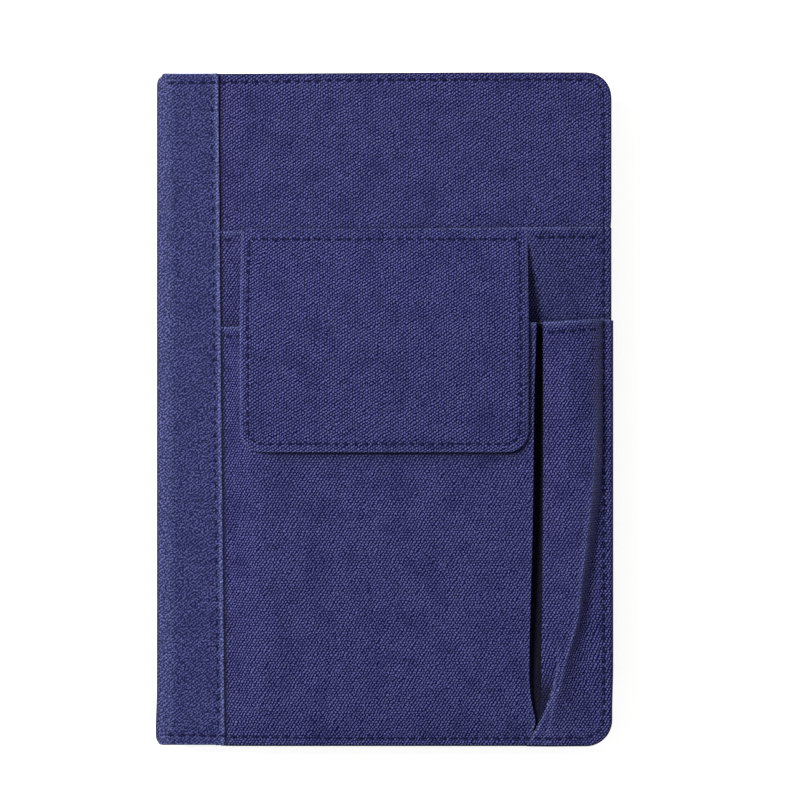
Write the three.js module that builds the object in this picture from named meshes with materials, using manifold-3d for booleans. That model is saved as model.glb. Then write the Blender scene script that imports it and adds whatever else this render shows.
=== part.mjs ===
// Cloth-bound logbook with a slip pocket, a flapped phone pocket and a pen pocket on its front cover.
// Millimetres. It lies on its back cover: z = 0 is the table, +Y the head of the book, +X the fore edge.

import * as THREE from 'three';
import { ConvexGeometry } from 'three/addons/geometries/ConvexGeometry.js';
import { mergeVertices } from 'three/addons/utils/BufferGeometryUtils.js';
import Module from 'manifold-3d';

const wasm = await Module();
wasm.setup();

// ---- Driving dimensions ----

const COVER_WIDTH = 145;
const COVER_HEIGHT = 215;
const BLOCK_GAP = 0.1; // between neighbouring layers
const FORE_CORNER = 8; // cover's corner radius at the fore edge
const EDGE_ROUND = 0.5; // softened rim of the cover cloth

const CLOTH = 0.7; // canvas-textured face cloth
const BOARD = 2.0;
const LINING = 0.5;
const COVER_THICK = CLOTH + BOARD + LINING + 2 * BLOCK_GAP;
const TURN_IN = 8; // cloth turned in over the board's inner face
const INSIDE_HEIGHT = 13.6; // between the two covers' inner faces

const BAND_EDGE_HEAD = 19.6; // the spine band's free edge, measured from the spine at the head
const BAND_EDGE_TAIL = 21.7; // and at the tail
const BAND_PROUD = 0.5; // the front band's folded edge stands above the face cloth
const HINGE_INSET = 0.9; // from the spine's outer face to the covers' hinge lines
const BAND_OVERHANG = 0.6; // of a cover's band past its hinge line
const COVER_START = 2.7; // where boards and turn-ins start, from the spine's outer face
const BAND_SEAM = 2.5; // the band's stitching, inside its free edge
const SPINE_BOARD = 1.6;

const SIGNATURES = 6;
const SIGNATURE_THICK = 1.9;
const LEAF = 0.2;
const FRONT_LEAVES = 3; // ruled leaves that turn with the front cover, besides the flyleaf
const SQUARE = 3; // how far the cover stands past the leaves
const GUTTER = 3.5; // the leaves' spine edge, from the spine's outer face
const LEAF_CORNER = 6;
const MULL = 0.7;
const BAND_BEAD = 1.5; // headband and tailband

const SLIP_TOP_LEFT = 56.4; // slip pocket's mouth, which climbs a little towards the fore edge
const SLIP_TOP_RIGHT = 57.7;
const POCKET_CLOTH = 0.7;
const SEAM = 2.4; // edge seam's inset
const SEAM_FLANGE = 2.9; // flat margin that the edge seam sews through

const PHONE_TOP_LEFT = 25.7;
const PHONE_TOP_RIGHT = 26.9;
const PHONE_RISE = 5.9; // outer height of the phone pocket's mouth above the slip pocket
const PHONE_SHOULDER = 7.5; // width of its sloping spine-side flank at the mouth
const VALLEY_MOUTH = 50; // the sewn valley between phone pocket and pen pocket, at the mouth
const VALLEY_FOOT = 48.2;
const VALLEY_WIDTH = 1.5;
const PATCH_CLOTH = 0.3; // cloth that holds the magnet behind the phone pocket's face

const PEN_TOP = 27.6;
const PEN_FOOT_X = 69.6; // where the pen pocket's outer flank meets the edge seam
const PEN_OVERHANG = 0.5; // its mouth stands past the cover's fore edge
// Stations along the pen pocket's ridge: y, ridge's x, ridge's height above the slip pocket.
const PEN_RIDGE = [
  [PEN_TOP, 67.4, 8.2],
  [-7, 67.4, 7.6],
  [-45, 63.2, 5.6],
  [-80, 57.6, 2.8],
  [-106.4, 52.6, 0.9],
];

const FLAP_LEFT = -45.6;
const FLAP_RIGHT = 45.8;
const FLAP_HEAD = 55.9;
const FLAP_BEND = 28; // where the flap passes over the pocket's mouth
const FLAP_TAIL = -13.9;
const FLAP_CORNER = 6.5;
const FLAP_LINING = 0.6;
const FLAP_CORE = 1;
const FLAP_FACE = 0.8;
const FLAP_SEAM = 2.8;
const FLAP_DROP = 1.2; // the flap's fall from the pocket's mouth to its free edge
const FLAP_LIFT = 1; // clearance over the pocket's mouth and its hem stitching

const MAGNET_RADIUS = 5;
const MAGNET_THICK = 0.8;
const MAGNET_ROOM = 0.3; // clearance round a magnet in the layer that holds it
const FLAP_MAGNET_THICK = 0.6;
const MAGNET_X = 0;
const MAGNET_Y = -5.5;

const THREAD_WIDTH = 0.5;
const THREAD_HEIGHT = 0.3;
const ARC_STEPS = 6;

// ---- Levels and places that follow from them ----

const LEFT = -COVER_WIDTH / 2;
const RIGHT = COVER_WIDTH / 2;
const HEAD = COVER_HEIGHT / 2;
const TAIL = -COVER_HEIGHT / 2;
const FRONT_FACE = 2 * COVER_THICK + INSIDE_HEIGHT;
const BACK_FACE = 0;
const SLIP_BASE = FRONT_FACE + BLOCK_GAP;
const POCKET_BASE = SLIP_BASE + POCKET_CLOTH + BLOCK_GAP;
const BAND_GAP = 0.15; // beside the band's free edge

const bandEdgeX = (y) => {
  const tailwards = (HEAD - y) / COVER_HEIGHT;
  return LEFT + THREE.MathUtils.lerp(BAND_EDGE_HEAD, BAND_EDGE_TAIL, tailwards);
};

// ---- Materials ----

const finish = (color, roughness, metalness = 0) =>
  new THREE.MeshStandardMaterial({ color, roughness, metalness });
const canvas = finish(0x2b2c6a, 0.62);
const bandCanvas = finish(0x2a2d70, 0.58);
const liningCloth = finish(0x1f2150, 0.7);
const thread = finish(0x1b1c48, 0.6);
const greyBoard = finish(0x8b8478, 0.9);
const paper = finish(0xf1ede0, 0.85);
const endpaper = finish(0xe4e0d2, 0.85);
const mullCloth = finish(0xd8d2c0, 0.9);
const headbandSilk = finish(0x2b2c6a, 0.5);
const magnetSteel = finish(0x9a9ca0, 0.35, 0.9);

// ---- Solids ----

const group = new THREE.Group();

function toSolid(geometry) {
  const bare = geometry.clone();
  bare.deleteAttribute('normal');
  bare.deleteAttribute('uv');
  const merged = mergeVertices(bare, 1e-4);
  return new wasm.Manifold(
    new wasm.Mesh({
      numProp: 3,
      vertProperties: new Float32Array(merged.attributes.position.array),
      triVerts: new Uint32Array(merged.index.array),
    }),
  );
}

function toGeometry(solid) {
  const mesh = solid.getMesh();
  const geometry = new THREE.BufferGeometry();
  geometry.setAttribute('position', new THREE.BufferAttribute(new Float32Array(mesh.vertProperties), 3));
  geometry.setIndex(new THREE.BufferAttribute(new Uint32Array(mesh.triVerts), 1));
  geometry.computeVertexNormals();
  return geometry;
}

function place(name, solid, material) {
  const mesh = new THREE.Mesh(toGeometry(solid), material);
  mesh.name = name;
  group.add(mesh);
}

/** A shape through corners, each [x, y] or [x, y, radius]. */
function outline(corners) {
  const shape = new THREE.Shape();
  const count = corners.length;
  corners.forEach(([x, y, radius = 0], i) => {
    const before = corners[(i + count - 1) % count];
    const after = corners[(i + 1) % count];
    const corner = new THREE.Vector2(x, y);
    const inward = new THREE.Vector2(before[0], before[1]).sub(corner).normalize();
    const outward = new THREE.Vector2(after[0], after[1]).sub(corner).normalize();
    const start = corner.clone().addScaledVector(inward, radius);
    const end = corner.clone().addScaledVector(outward, radius);
    if (i === 0) shape.moveTo(start.x, start.y);
    else shape.lineTo(start.x, start.y);
    if (radius > 0) shape.quadraticCurveTo(x, y, end.x, end.y);
  });
  shape.closePath();
  return shape;
}

/** A plate of that outline between two heights, its rim softened by round. */
function plate(corners, low, high, round = 0) {
  const geometry = new THREE.ExtrudeGeometry(outline(corners), {
    depth: high - low - 2 * round,
    bevelEnabled: round > 0,
    bevelThickness: round,
    bevelSize: round,
    bevelOffset: -round,
    bevelSegments: 2,
    curveSegments: ARC_STEPS,
  });
  geometry.translate(0, 0, low + round);
  return toSolid(geometry);
}

const box = (x0, x1, y0, y1, low, high) => plate([[x0, y0], [x1, y0], [x1, y1], [x0, y1]], low, high);

const hull = (points) => toSolid(new ConvexGeometry(points.map((p) => new THREE.Vector3(...p))));

/** A bar along X with a cross-section given in Y and Z. */
function barAlongX(section, x0, x1) {
  const shape = new THREE.Shape(section.map(([y, z]) => new THREE.Vector2(y, z)));
  const geometry = new THREE.ExtrudeGeometry(shape, { depth: x1 - x0, bevelEnabled: false });
  geometry.applyMatrix4(new THREE.Matrix4().set(0, 0, 1, x0, 1, 0, 0, 0, 0, 1, 0, 0, 0, 0, 0, 1));
  return toSolid(geometry);
}

function disc(x, y, radius, low, high) {
  const geometry = new THREE.CylinderGeometry(radius, radius, high - low, 24);
  geometry.rotateX(Math.PI / 2);
  geometry.translate(x, y, (low + high) / 2);
  return toSolid(geometry);
}

/** A line of sewing thread through points, each [x, y, z of its underside]. */
function threadLine(points) {
  const half = THREAD_WIDTH / 2;
  const knot = ([x, y, z]) => {
    const corners = [];
    for (const dx of [-half, half]) {
      for (const dy of [-half, half]) {
        for (const dz of [0, THREAD_HEIGHT]) corners.push([x + dx, y + dy, z + dz]);
      }
    }
    return corners;
  };
  let line = null;
  for (let i = 0; i + 1 < points.length; i++) {
    const piece = hull([...knot(points[i]), ...knot(points[i + 1])]);
    line = line ? line.add(piece) : piece;
  }
  return line;
}

/** Points of a quarter turn about a centre, between two angles in degrees. */
function arc(cx, cy, radius, from, to, z) {
  const points = [];
  for (let i = 0; i <= ARC_STEPS; i++) {
    const angle = THREE.MathUtils.degToRad(THREE.MathUtils.lerp(from, to, i / ARC_STEPS));
    points.push([cx + radius * Math.cos(angle), cy + radius * Math.sin(angle), z]);
  }
  return points;
}

// ---- Covers ----

const BOARD_INSET = CLOTH + BLOCK_GAP;
const COVER_LEFT = LEFT + COVER_START;

/** A rectangle whose two fore-edge corners are round. */
const leafShape = (x0, x1, halfHeight, corner) => [
  [x0, -halfHeight],
  [x1, -halfHeight, corner],
  [x1, halfHeight, corner],
  [x0, halfHeight],
];

/** One cover: face is its outer level, out is +1 where that face looks up. */
function buildCover(side, face, out, proud) {
  const between = (shape, outer, inner, round) => {
    const levels = [face - out * outer, face - out * inner].sort((a, b) => a - b);
    return plate(shape, levels[0], levels[1], round);
  };
  const boardOuter = CLOTH + BLOCK_GAP;
  const boardInner = boardOuter + BOARD;
  const liningOuter = boardInner + BLOCK_GAP;
  const boardShape = leafShape(COVER_LEFT, RIGHT - BOARD_INSET, HEAD - BOARD_INSET, FORE_CORNER - 1);
  const liningShape = leafShape(COVER_LEFT, RIGHT - TURN_IN, HEAD - TURN_IN, FORE_CORNER - 3);
  place(`${side}_board`, between(boardShape, boardOuter, boardInner), greyBoard);
  place(`${side}_lining`, between(liningShape, liningOuter, COVER_THICK), endpaper);

  // What the board and lining take out of the cloth that wraps them, open towards the spine.
  const spineward = LEFT - 5;
  const boardRoom = leafShape(
    spineward, RIGHT - BOARD_INSET + BLOCK_GAP, HEAD - BOARD_INSET + BLOCK_GAP, FORE_CORNER - 1);
  const liningRoom = leafShape(
    spineward, RIGHT - TURN_IN + BAND_GAP, HEAD - TURN_IN + BAND_GAP, FORE_CORNER - 3);
  const hollow = between(boardRoom, CLOTH, boardInner + BLOCK_GAP)
    .add(between(liningRoom, boardInner, COVER_THICK + 1));

  const faceShape = [
    [bandEdgeX(TAIL), TAIL],
    [RIGHT, TAIL, FORE_CORNER],
    [RIGHT, HEAD, FORE_CORNER],
    [bandEdgeX(HEAD), HEAD],
  ];
  const faceCloth = between(faceShape, 0, COVER_THICK, EDGE_ROUND).subtract(hollow);
  place(`${side}_cover_cloth`, faceCloth, canvas);

  const bandShape = [
    [COVER_LEFT, TAIL],
    [bandEdgeX(TAIL) - BAND_GAP, TAIL],
    [bandEdgeX(HEAD) - BAND_GAP, HEAD],
    [COVER_LEFT, HEAD],
  ];
  const hingeTongue = [
    [LEFT + HINGE_INSET - BAND_OVERHANG, TAIL],
    [COVER_LEFT + 1, TAIL],
    [COVER_LEFT + 1, HEAD],
    [LEFT + HINGE_INSET - BAND_OVERHANG, HEAD],
  ];
  const band = between(bandShape, -proud, COVER_THICK)
    .subtract(hollow)
    .add(between(hingeTongue, -proud, CLOTH - proud));
  place(`${side}_spine_band`, band, bandCanvas);
}

/** The front cover's edge seam, which climbs on to the slip pocket and then on to the lower pockets. */
function buildEdgeThread() {
  const x = RIGHT - SEAM;
  const y = HEAD - SEAM;
  const radius = FORE_CORNER - SEAM;
  const onCloth = FRONT_FACE + BLOCK_GAP;
  const onSlip = SLIP_BASE + POCKET_CLOTH + BLOCK_GAP;
  const onLower = POCKET_BASE + POCKET_CLOTH + BLOCK_GAP;
  const onFoot = onLower + 3 * BLOCK_GAP;
  const slipEdge = SLIP_TOP_RIGHT + THREAD_WIDTH;
  const lowerEdge = PEN_TOP + 4 * THREAD_WIDTH;
  const line = threadLine([
    [bandEdgeX(HEAD) + THREAD_WIDTH, y, onCloth],
    ...arc(x - radius, y - radius, radius, 90, 0, onCloth),
    [x, slipEdge, onCloth],
    [x, slipEdge, onSlip],
    [x, lowerEdge, onSlip],
    [x, lowerEdge, onLower],
    ...arc(x - radius, radius - y, radius, 0, -90, onFoot),
    [bandEdgeX(TAIL) + 2 * THREAD_WIDTH, -y, onFoot],
  ]);
  place('front_edge_thread', line, thread);
}

function buildBandThread() {
  const level = FRONT_FACE + BAND_PROUD + BLOCK_GAP;
  const line = threadLine([
    [bandEdgeX(HEAD) - BAND_SEAM, HEAD - SEAM, level],
    [bandEdgeX(TAIL) - BAND_SEAM, TAIL + SEAM, level],
  ]);
  place('front_band_thread', line, thread);
}

// ---- Spine ----

function buildSpine() {
  const low = BACK_FACE + CLOTH + 0.5;
  const high = FRONT_FACE - low;
  const clothRight = LEFT + CLOTH;
  const boardLeft = clothRight + BLOCK_GAP;
  place('spine_band', box(LEFT, clothRight, TAIL, HEAD, low, high), bandCanvas);
  const boardHead = HEAD - BOARD_INSET;
  place('spine_board', box(boardLeft, boardLeft + SPINE_BOARD, -boardHead, boardHead, low, high), greyBoard);
}

// ---- Text block ----

const BLOCK_LEFT = LEFT + GUTTER;
const BLOCK_RIGHT = RIGHT - SQUARE;
const BLOCK_HEAD = HEAD - SQUARE - 0.7;
const BLOCK_BASE = COVER_THICK + BLOCK_GAP;

function leaf(low, thick) {
  return plate(leafShape(BLOCK_LEFT, BLOCK_RIGHT, BLOCK_HEAD, LEAF_CORNER), low, low + thick);
}

function buildTextBlock() {
  let level = BLOCK_BASE;
  const lay = (name, thick, material) => {
    place(name, leaf(level, thick), material);
    level += thick + BLOCK_GAP;
  };
  lay('back_flyleaf', LEAF, endpaper);
  const sewnLow = level;
  for (let i = 1; i <= SIGNATURES; i++) lay(`signature_${i}`, SIGNATURE_THICK, paper);
  const sewnHigh = level - BLOCK_GAP;
  for (let i = FRONT_LEAVES; i >= 1; i--) lay(`ruled_leaf_${i}`, LEAF, paper);
  lay('front_flyleaf', LEAF, endpaper);

  const mullRight = BLOCK_LEFT - 2 * BLOCK_GAP;
  const mull = box(mullRight - MULL, mullRight, -BLOCK_HEAD, BLOCK_HEAD, sewnLow, sewnHigh);
  place('mull', mull, mullCloth);
  const bead = (y0, y1) => box(mullRight - MULL, BLOCK_LEFT + BAND_BEAD, y0, y1, sewnLow, sewnHigh);
  place('headband', bead(BLOCK_HEAD + BLOCK_GAP, BLOCK_HEAD + BAND_BEAD), headbandSilk);
  place('tailband', bead(-BLOCK_HEAD - BAND_BEAD, -BLOCK_HEAD - BLOCK_GAP), headbandSilk);
}

// ---- Pockets ----

/** A pocket panel's spine-side edge, just clear of the band's free edge. */
const panelLeft = (y) => bandEdgeX(y) + BAND_GAP;
const PANEL_INSET = 0.2; // pocket panels lie just inside the cover's outline

function buildSlipPocket() {
  const right = RIGHT - PANEL_INSET;
  const tail = TAIL + PANEL_INSET;
  const panel = plate([
    [panelLeft(tail), tail],
    [right, tail, FORE_CORNER],
    [right, SLIP_TOP_RIGHT],
    [panelLeft(SLIP_TOP_LEFT), SLIP_TOP_LEFT],
  ], SLIP_BASE, SLIP_BASE + POCKET_CLOTH);
  place('slip_pocket_panel', panel, canvas);

  const level = SLIP_BASE + POCKET_CLOTH + BLOCK_GAP;
  const left = panelLeft(SLIP_TOP_LEFT) + 1;
  const line = threadLine([
    [left, SLIP_TOP_LEFT - FLAP_SEAM, level],
    [RIGHT - 2 * SEAM, SLIP_TOP_RIGHT - FLAP_SEAM, level],
  ]);
  place('slip_pocket_thread', line, thread);
}

/** The phone pocket's form: a wedge from the tail seam up to the mouth, less wall all round. */
function phoneForm(wall, base) {
  const tail = TAIL + PANEL_INSET + 4 * wall;
  const foot = VALLEY_FOOT - VALLEY_WIDTH / 2 - wall;
  const mouth = VALLEY_MOUTH - VALLEY_WIDTH / 2 - wall;
  const low = POCKET_BASE - base;
  const footTop = POCKET_BASE + POCKET_CLOTH - wall;
  const mouthTop = POCKET_BASE + PHONE_RISE - wall;
  const beyond = base > 0 ? 6 : 0; // the room inside runs out past the mouth
  const left = (y) => panelLeft(y) + 2 * wall;
  const yLeft = PHONE_TOP_LEFT + beyond;
  const yRight = PHONE_TOP_RIGHT + beyond;
  return hull([
    [left(tail), tail, low], [foot, tail, low],
    [left(tail), tail, footTop], [foot, tail, footTop],
    [left(yLeft), yLeft, low], [mouth, yRight, low],
    [left(yLeft), yLeft, footTop],
    [left(yLeft) + PHONE_SHOULDER, yLeft, mouthTop], [mouth, yRight, mouthTop],
  ]);
}

function phoneTop(x, y) {
  const rise = THREE.MathUtils.clamp((y - TAIL) / (PHONE_TOP_LEFT - TAIL), 0, 1);
  const crown = POCKET_CLOTH + (PHONE_RISE - POCKET_CLOTH) * rise;
  const flank = (x - panelLeft(y)) / PHONE_SHOULDER;
  const height = POCKET_CLOTH + (crown - POCKET_CLOTH) * Math.min(flank, 1);
  return POCKET_BASE + height;
}

function buildPhonePocket() {
  place('phone_pocket_panel', phoneForm(0, 0).subtract(phoneForm(POCKET_CLOTH, 1)), canvas);

  const hem = PHONE_TOP_LEFT - FLAP_SEAM;
  const stops = [panelLeft(hem) + 1, panelLeft(hem) + PHONE_SHOULDER, VALLEY_MOUTH - 2 * VALLEY_WIDTH];
  const lift = 4 * BLOCK_GAP;
  place('phone_pocket_thread', threadLine(stops.map((x) => [x, hem, phoneTop(x, hem) + lift])), thread);

  const ceiling = phoneTop(MAGNET_X, MAGNET_Y - MAGNET_RADIUS - 2) - POCKET_CLOTH;
  const patchHigh = ceiling - 3 * BLOCK_GAP;
  const patchLow = patchHigh - MAGNET_THICK - 2 * PATCH_CLOTH;
  const magnetLow = patchLow + PATCH_CLOTH + BLOCK_GAP;
  const half = MAGNET_RADIUS + 2;
  const room = disc(MAGNET_X, MAGNET_Y, MAGNET_RADIUS + MAGNET_ROOM, magnetLow - BLOCK_GAP, patchHigh + 1);
  const patch = box(MAGNET_X - half, MAGNET_X + half, MAGNET_Y - half, MAGNET_Y + half, patchLow, patchHigh);
  place('pocket_magnet_patch', patch.subtract(room), liningCloth);
  const magnet = disc(MAGNET_X, MAGNET_Y, MAGNET_RADIUS, magnetLow, magnetLow + MAGNET_THICK);
  place('pocket_magnet', magnet, magnetSteel);
}

/** The pen pocket's form between two stations of its ridge, less wall all round. */
function penSpan(from, to, wall, base) {
  const corners = [];
  for (const [y, x, rise] of [from, to]) {
    const down = (PEN_TOP - y) / (PEN_TOP - TAIL);
    const valley = THREE.MathUtils.lerp(VALLEY_MOUTH, VALLEY_FOOT, down) + VALLEY_WIDTH / 2;
    const flank = Math.min(x + 3, PEN_FOOT_X);
    const foot = THREE.MathUtils.lerp(PEN_FOOT_X, flank, down);
    const slack = Math.min(wall * 1.6, rise - 0.2);
    corners.push([valley + 2 * slack, y, POCKET_BASE - base]);
    corners.push([foot - wall, y, POCKET_BASE - base]);
    corners.push([x - wall * 0.4, y, POCKET_BASE + rise - slack]);
  }
  return hull(corners);
}

function penForm(wall, base) {
  const stations = PEN_RIDGE.map((station) => [...station]);
  if (base > 0) stations[0][0] += 2;
  if (base > 0) stations[stations.length - 1][0] += 20;
  let form = null;
  for (let i = 0; i + 1 < stations.length; i++) {
    const span = penSpan(stations[i], stations[i + 1], wall, base);
    form = form ? form.add(span) : span;
  }
  return form;
}

function buildPenPocket() {
  const mouthRight = RIGHT + PEN_OVERHANG;
  const tail = TAIL + PANEL_INSET;
  const flange = plate([
    [VALLEY_FOOT + VALLEY_WIDTH / 2, tail],
    [RIGHT - PANEL_INSET, tail, FORE_CORNER],
    [mouthRight, PEN_TOP + 1],
    [RIGHT - SEAM_FLANGE - 1, PEN_TOP],
    [PEN_FOOT_X - 8, -60],
    [VALLEY_FOOT + VALLEY_WIDTH / 2, tail + 6],
  ], POCKET_BASE, POCKET_BASE + POCKET_CLOTH);
  const panel = penForm(0, 0).add(flange).subtract(penForm(POCKET_CLOTH, 1));
  place('pen_pocket_panel', panel, canvas);

  const hem = PEN_TOP - FLAP_SEAM;
  const ridge = PEN_RIDGE[0];
  const lift = 4 * BLOCK_GAP;
  const foot = VALLEY_MOUTH + VALLEY_WIDTH;
  const line = threadLine([
    [foot, hem, POCKET_BASE + 0.8],
    [ridge[1], hem, POCKET_BASE + ridge[2] + lift],
  ]);
  place('pen_pocket_thread', line, thread);
}

// ---- Flap ----

/** The flap's underside at y: it climbs from its sewn edge to the pocket's mouth, then follows the pocket. */
function flapUnderside(y) {
  const start = POCKET_BASE + 0.3;
  const bend = POCKET_BASE + PHONE_RISE + FLAP_LIFT;
  if (y >= FLAP_BEND) return THREE.MathUtils.mapLinear(y, FLAP_HEAD, FLAP_BEND, start, bend);
  return THREE.MathUtils.mapLinear(y, FLAP_BEND, FLAP_TAIL, bend, bend - FLAP_DROP);
}

function flapLayer(low, high, inset) {
  const ys = [FLAP_HEAD - inset, FLAP_BEND, FLAP_TAIL + inset];
  const under = ys.map((y) => [y, flapUnderside(y) + low]);
  const over = ys.map((y) => [y, flapUnderside(y) + high]).reverse();
  const bar = barAlongX([...under, ...over], FLAP_LEFT - 1, FLAP_RIGHT + 1);
  const corner = FLAP_CORNER - inset / 2;
  const shape = plate([
    [FLAP_LEFT + inset, FLAP_TAIL + inset, corner],
    [FLAP_RIGHT - inset, FLAP_TAIL + inset, corner],
    [FLAP_RIGHT - inset, FLAP_HEAD + 1],
    [FLAP_LEFT + inset, FLAP_HEAD + 1],
  ], POCKET_BASE - 1, POCKET_BASE + 20);
  return bar.intersect(shape);
}

function buildFlap() {
  const coreLow = FLAP_LINING + BLOCK_GAP;
  const faceLow = coreLow + FLAP_CORE + BLOCK_GAP;
  place('flap_lining', flapLayer(0, FLAP_LINING, 0), liningCloth);
  place('flap_face_cloth', flapLayer(faceLow, faceLow + FLAP_FACE, 0), canvas);
  const magnetLow = flapUnderside(MAGNET_Y + MAGNET_RADIUS) + coreLow;
  const cut = disc(MAGNET_X, MAGNET_Y, MAGNET_RADIUS + MAGNET_ROOM, magnetLow - 5, magnetLow + 5);
  place('flap_stiffener', flapLayer(coreLow, coreLow + FLAP_CORE, 4).subtract(cut), greyBoard);
  const magnet = disc(MAGNET_X, MAGNET_Y, MAGNET_RADIUS, magnetLow, magnetLow + FLAP_MAGNET_THICK);
  place('flap_magnet', magnet, magnetSteel);

  const left = FLAP_LEFT + FLAP_SEAM;
  const right = FLAP_RIGHT - FLAP_SEAM;
  const head = FLAP_HEAD - FLAP_SEAM;
  const tail = FLAP_TAIL + FLAP_SEAM;
  const radius = FLAP_CORNER - FLAP_SEAM;
  const onFace = (y) => flapUnderside(y) + faceLow + FLAP_FACE + 2 * BLOCK_GAP;
  const route = [
    [left, head], [left, FLAP_BEND],
    ...arc(left + radius, tail + radius, radius, 180, 270, 0),
    ...arc(right - radius, tail + radius, radius, 270, 360, 0),
    [right, FLAP_BEND], [right, head], [left, head],
  ];
  place('flap_thread', threadLine(route.map(([x, y]) => [x, y, onFace(y)])), thread);
}

buildCover('front', FRONT_FACE, 1, BAND_PROUD);
buildCover('back', BACK_FACE, -1, 0);
buildEdgeThread();
buildBandThread();
buildSpine();
buildTextBlock();
buildSlipPocket();
buildPhonePocket();
buildPenPocket();
buildFlap();

export default group;
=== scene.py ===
"""Looks of a cloth-bound logbook with a slip pocket, a flapped phone pocket and a pleated pen pocket.

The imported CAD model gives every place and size. Shapes are worked out in millimetres and written to the
meshes in metres. Cloth pieces are surfaces with real folds, then given their thickness.
"""
import math

import bmesh
import bpy
import numpy as np
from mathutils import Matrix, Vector
from mathutils.bvhtree import BVHTree


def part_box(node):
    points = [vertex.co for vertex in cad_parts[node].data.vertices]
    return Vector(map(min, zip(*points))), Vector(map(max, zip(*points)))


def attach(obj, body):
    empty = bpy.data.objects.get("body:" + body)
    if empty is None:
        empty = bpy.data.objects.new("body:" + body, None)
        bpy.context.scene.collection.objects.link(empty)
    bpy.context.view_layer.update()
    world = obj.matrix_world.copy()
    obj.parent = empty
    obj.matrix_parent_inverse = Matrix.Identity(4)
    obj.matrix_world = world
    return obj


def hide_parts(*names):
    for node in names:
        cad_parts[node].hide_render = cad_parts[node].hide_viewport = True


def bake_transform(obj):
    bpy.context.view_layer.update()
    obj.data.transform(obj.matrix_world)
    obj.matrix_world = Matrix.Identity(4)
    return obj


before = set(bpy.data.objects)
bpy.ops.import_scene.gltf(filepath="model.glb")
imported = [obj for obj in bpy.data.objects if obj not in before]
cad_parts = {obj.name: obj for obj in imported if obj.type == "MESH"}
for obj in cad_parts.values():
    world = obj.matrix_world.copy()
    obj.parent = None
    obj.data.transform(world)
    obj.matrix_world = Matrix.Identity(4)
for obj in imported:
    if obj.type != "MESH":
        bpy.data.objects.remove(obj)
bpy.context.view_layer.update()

MM = 0.001

# ---------------------------------------------------------------- places, from the frame, in millimetres


def corners(node):
    low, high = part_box(node)
    return np.array(low) / MM, np.array(high) / MM


cloth_low, cloth_high = corners("front_cover_cloth")
spine_low, spine_high = corners("spine_band")
flap_low, flap_high = corners("flap_face_cloth")
slip_high = corners("slip_pocket_panel")[1]
phone_high = corners("phone_pocket_panel")[1]
band_high = corners("front_spine_band")[1]
back_high = corners("back_cover_cloth")[1]

LEFT, RIGHT = spine_low[0], cloth_high[0]
TAIL, HEAD = cloth_low[1], cloth_high[1]
FACE, INNER = cloth_high[2], cloth_low[2]
BACK_INNER = back_high[2]
BAND_TOP = band_high[2]
MID_Z = (spine_low[2] + spine_high[2]) / 2
COVER_THICK = FACE - INNER

CORNER = 8.0  # cover's corner radius at the fore edge
EDGE = 0.8  # rounding of the cover's edge
CLOTH = 0.5  # thickness of the face cloth
TURN_IN = 9.0
SEAM = 2.4  # edge seam's inset
BAND_HEAD_X = cloth_low[0]  # the spine band's free edge at the head
BAND_TAIL_X = BAND_HEAD_X + 2.1  # and at the tail
SLIP_SLOPE = 0.0105  # pocket mouths climb towards the fore edge
SLIP_MOUTH = slip_high[1] - SLIP_SLOPE * (RIGHT - BAND_HEAD_X)
LOWER_MOUTH = phone_high[1] - 1.2
HEM = 2.8  # stitching below a pocket's mouth
POCKET_CLOTH = 0.3  # thickness of the pockets' cloth and the band's
BACK_FACE = 0.3  # the back cloth's height over the base plane, on which the band stands
OPEN_END = 1e4  # stands for a panel's end that has no rounded corner
HEADWARD = np.array([0, 1.0, 0])
UPWARD = np.array([0, 0, 1.0])


def band_edge(y):
    return BAND_HEAD_X + (BAND_TAIL_X - BAND_HEAD_X) * (HEAD - y) / (HEAD - TAIL)


def slip_mouth(x):
    return SLIP_MOUTH + SLIP_SLOPE * (x - BAND_HEAD_X)


def lower_mouth(x):
    return LOWER_MOUTH + 0.012 * (x - BAND_HEAD_X) + 0.9 * smooth((x - 50) / 22)


# ---------------------------------------------------------------- small maths


def smooth(t):
    t = np.clip(t, 0, 1)
    return t * t * (3 - 2 * t)


def near_to(distance, width=1.0):
    """1 at a place, falling off to nothing within two or three widths of it."""
    return np.exp(-((distance / width) ** 2))


def pair(x, y):
    return np.stack([x, y], axis=-1)


def rounding(t):
    """How far a unit round corner falls back, t along from its end."""
    t = min(max(t, 0.0), 1.0)
    return 1 - math.sqrt(1 - (1 - t) ** 2)


def curve(points):
    """A smooth function through (place, value) points, flat beyond its ends."""
    xs = np.array([p[0] for p in points], float)
    vs = np.array([p[1] for p in points], float)
    slopes = np.gradient(vs, xs)

    def value(x):
        x = np.clip(np.asarray(x, float), xs[0], xs[-1])
        k = np.clip(np.searchsorted(xs, x) - 1, 0, len(xs) - 2)
        h = xs[k + 1] - xs[k]
        t = (x - xs[k]) / h
        a = 2 * t**3 - 3 * t**2 + 1
        b = t**3 - 2 * t**2 + t
        c = -2 * t**3 + 3 * t**2
        d = t**3 - t**2
        return a * vs[k] + b * h * slopes[k] + c * vs[k + 1] + d * h * slopes[k + 1]

    return value


def unevenness(x, y, seed=0.0):
    """A gentle, repeatable unevenness of hand-laid cloth, between about -1 and 1."""
    a = np.sin(x * 0.061 + y * 0.043 + seed * 1.7)
    b = np.sin(x * 0.117 - y * 0.089 + seed * 2.9 + 1.3)
    c = np.sin(x * 0.029 + y * 0.133 + seed * 0.7 + 4.1)
    return (a + 0.6 * b + 0.8 * c) / 2.4


def lines(*stops):
    """Grid lines through stops of (place, spacing up to the next stop)."""
    out = []
    for (a, step), (b, _) in zip(stops, stops[1:]):
        count = max(1, int(round(abs(b - a) / step)))
        out += list(np.linspace(a, b, count, endpoint=False))
    out.append(stops[-1][0])
    return np.array(out)


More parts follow.
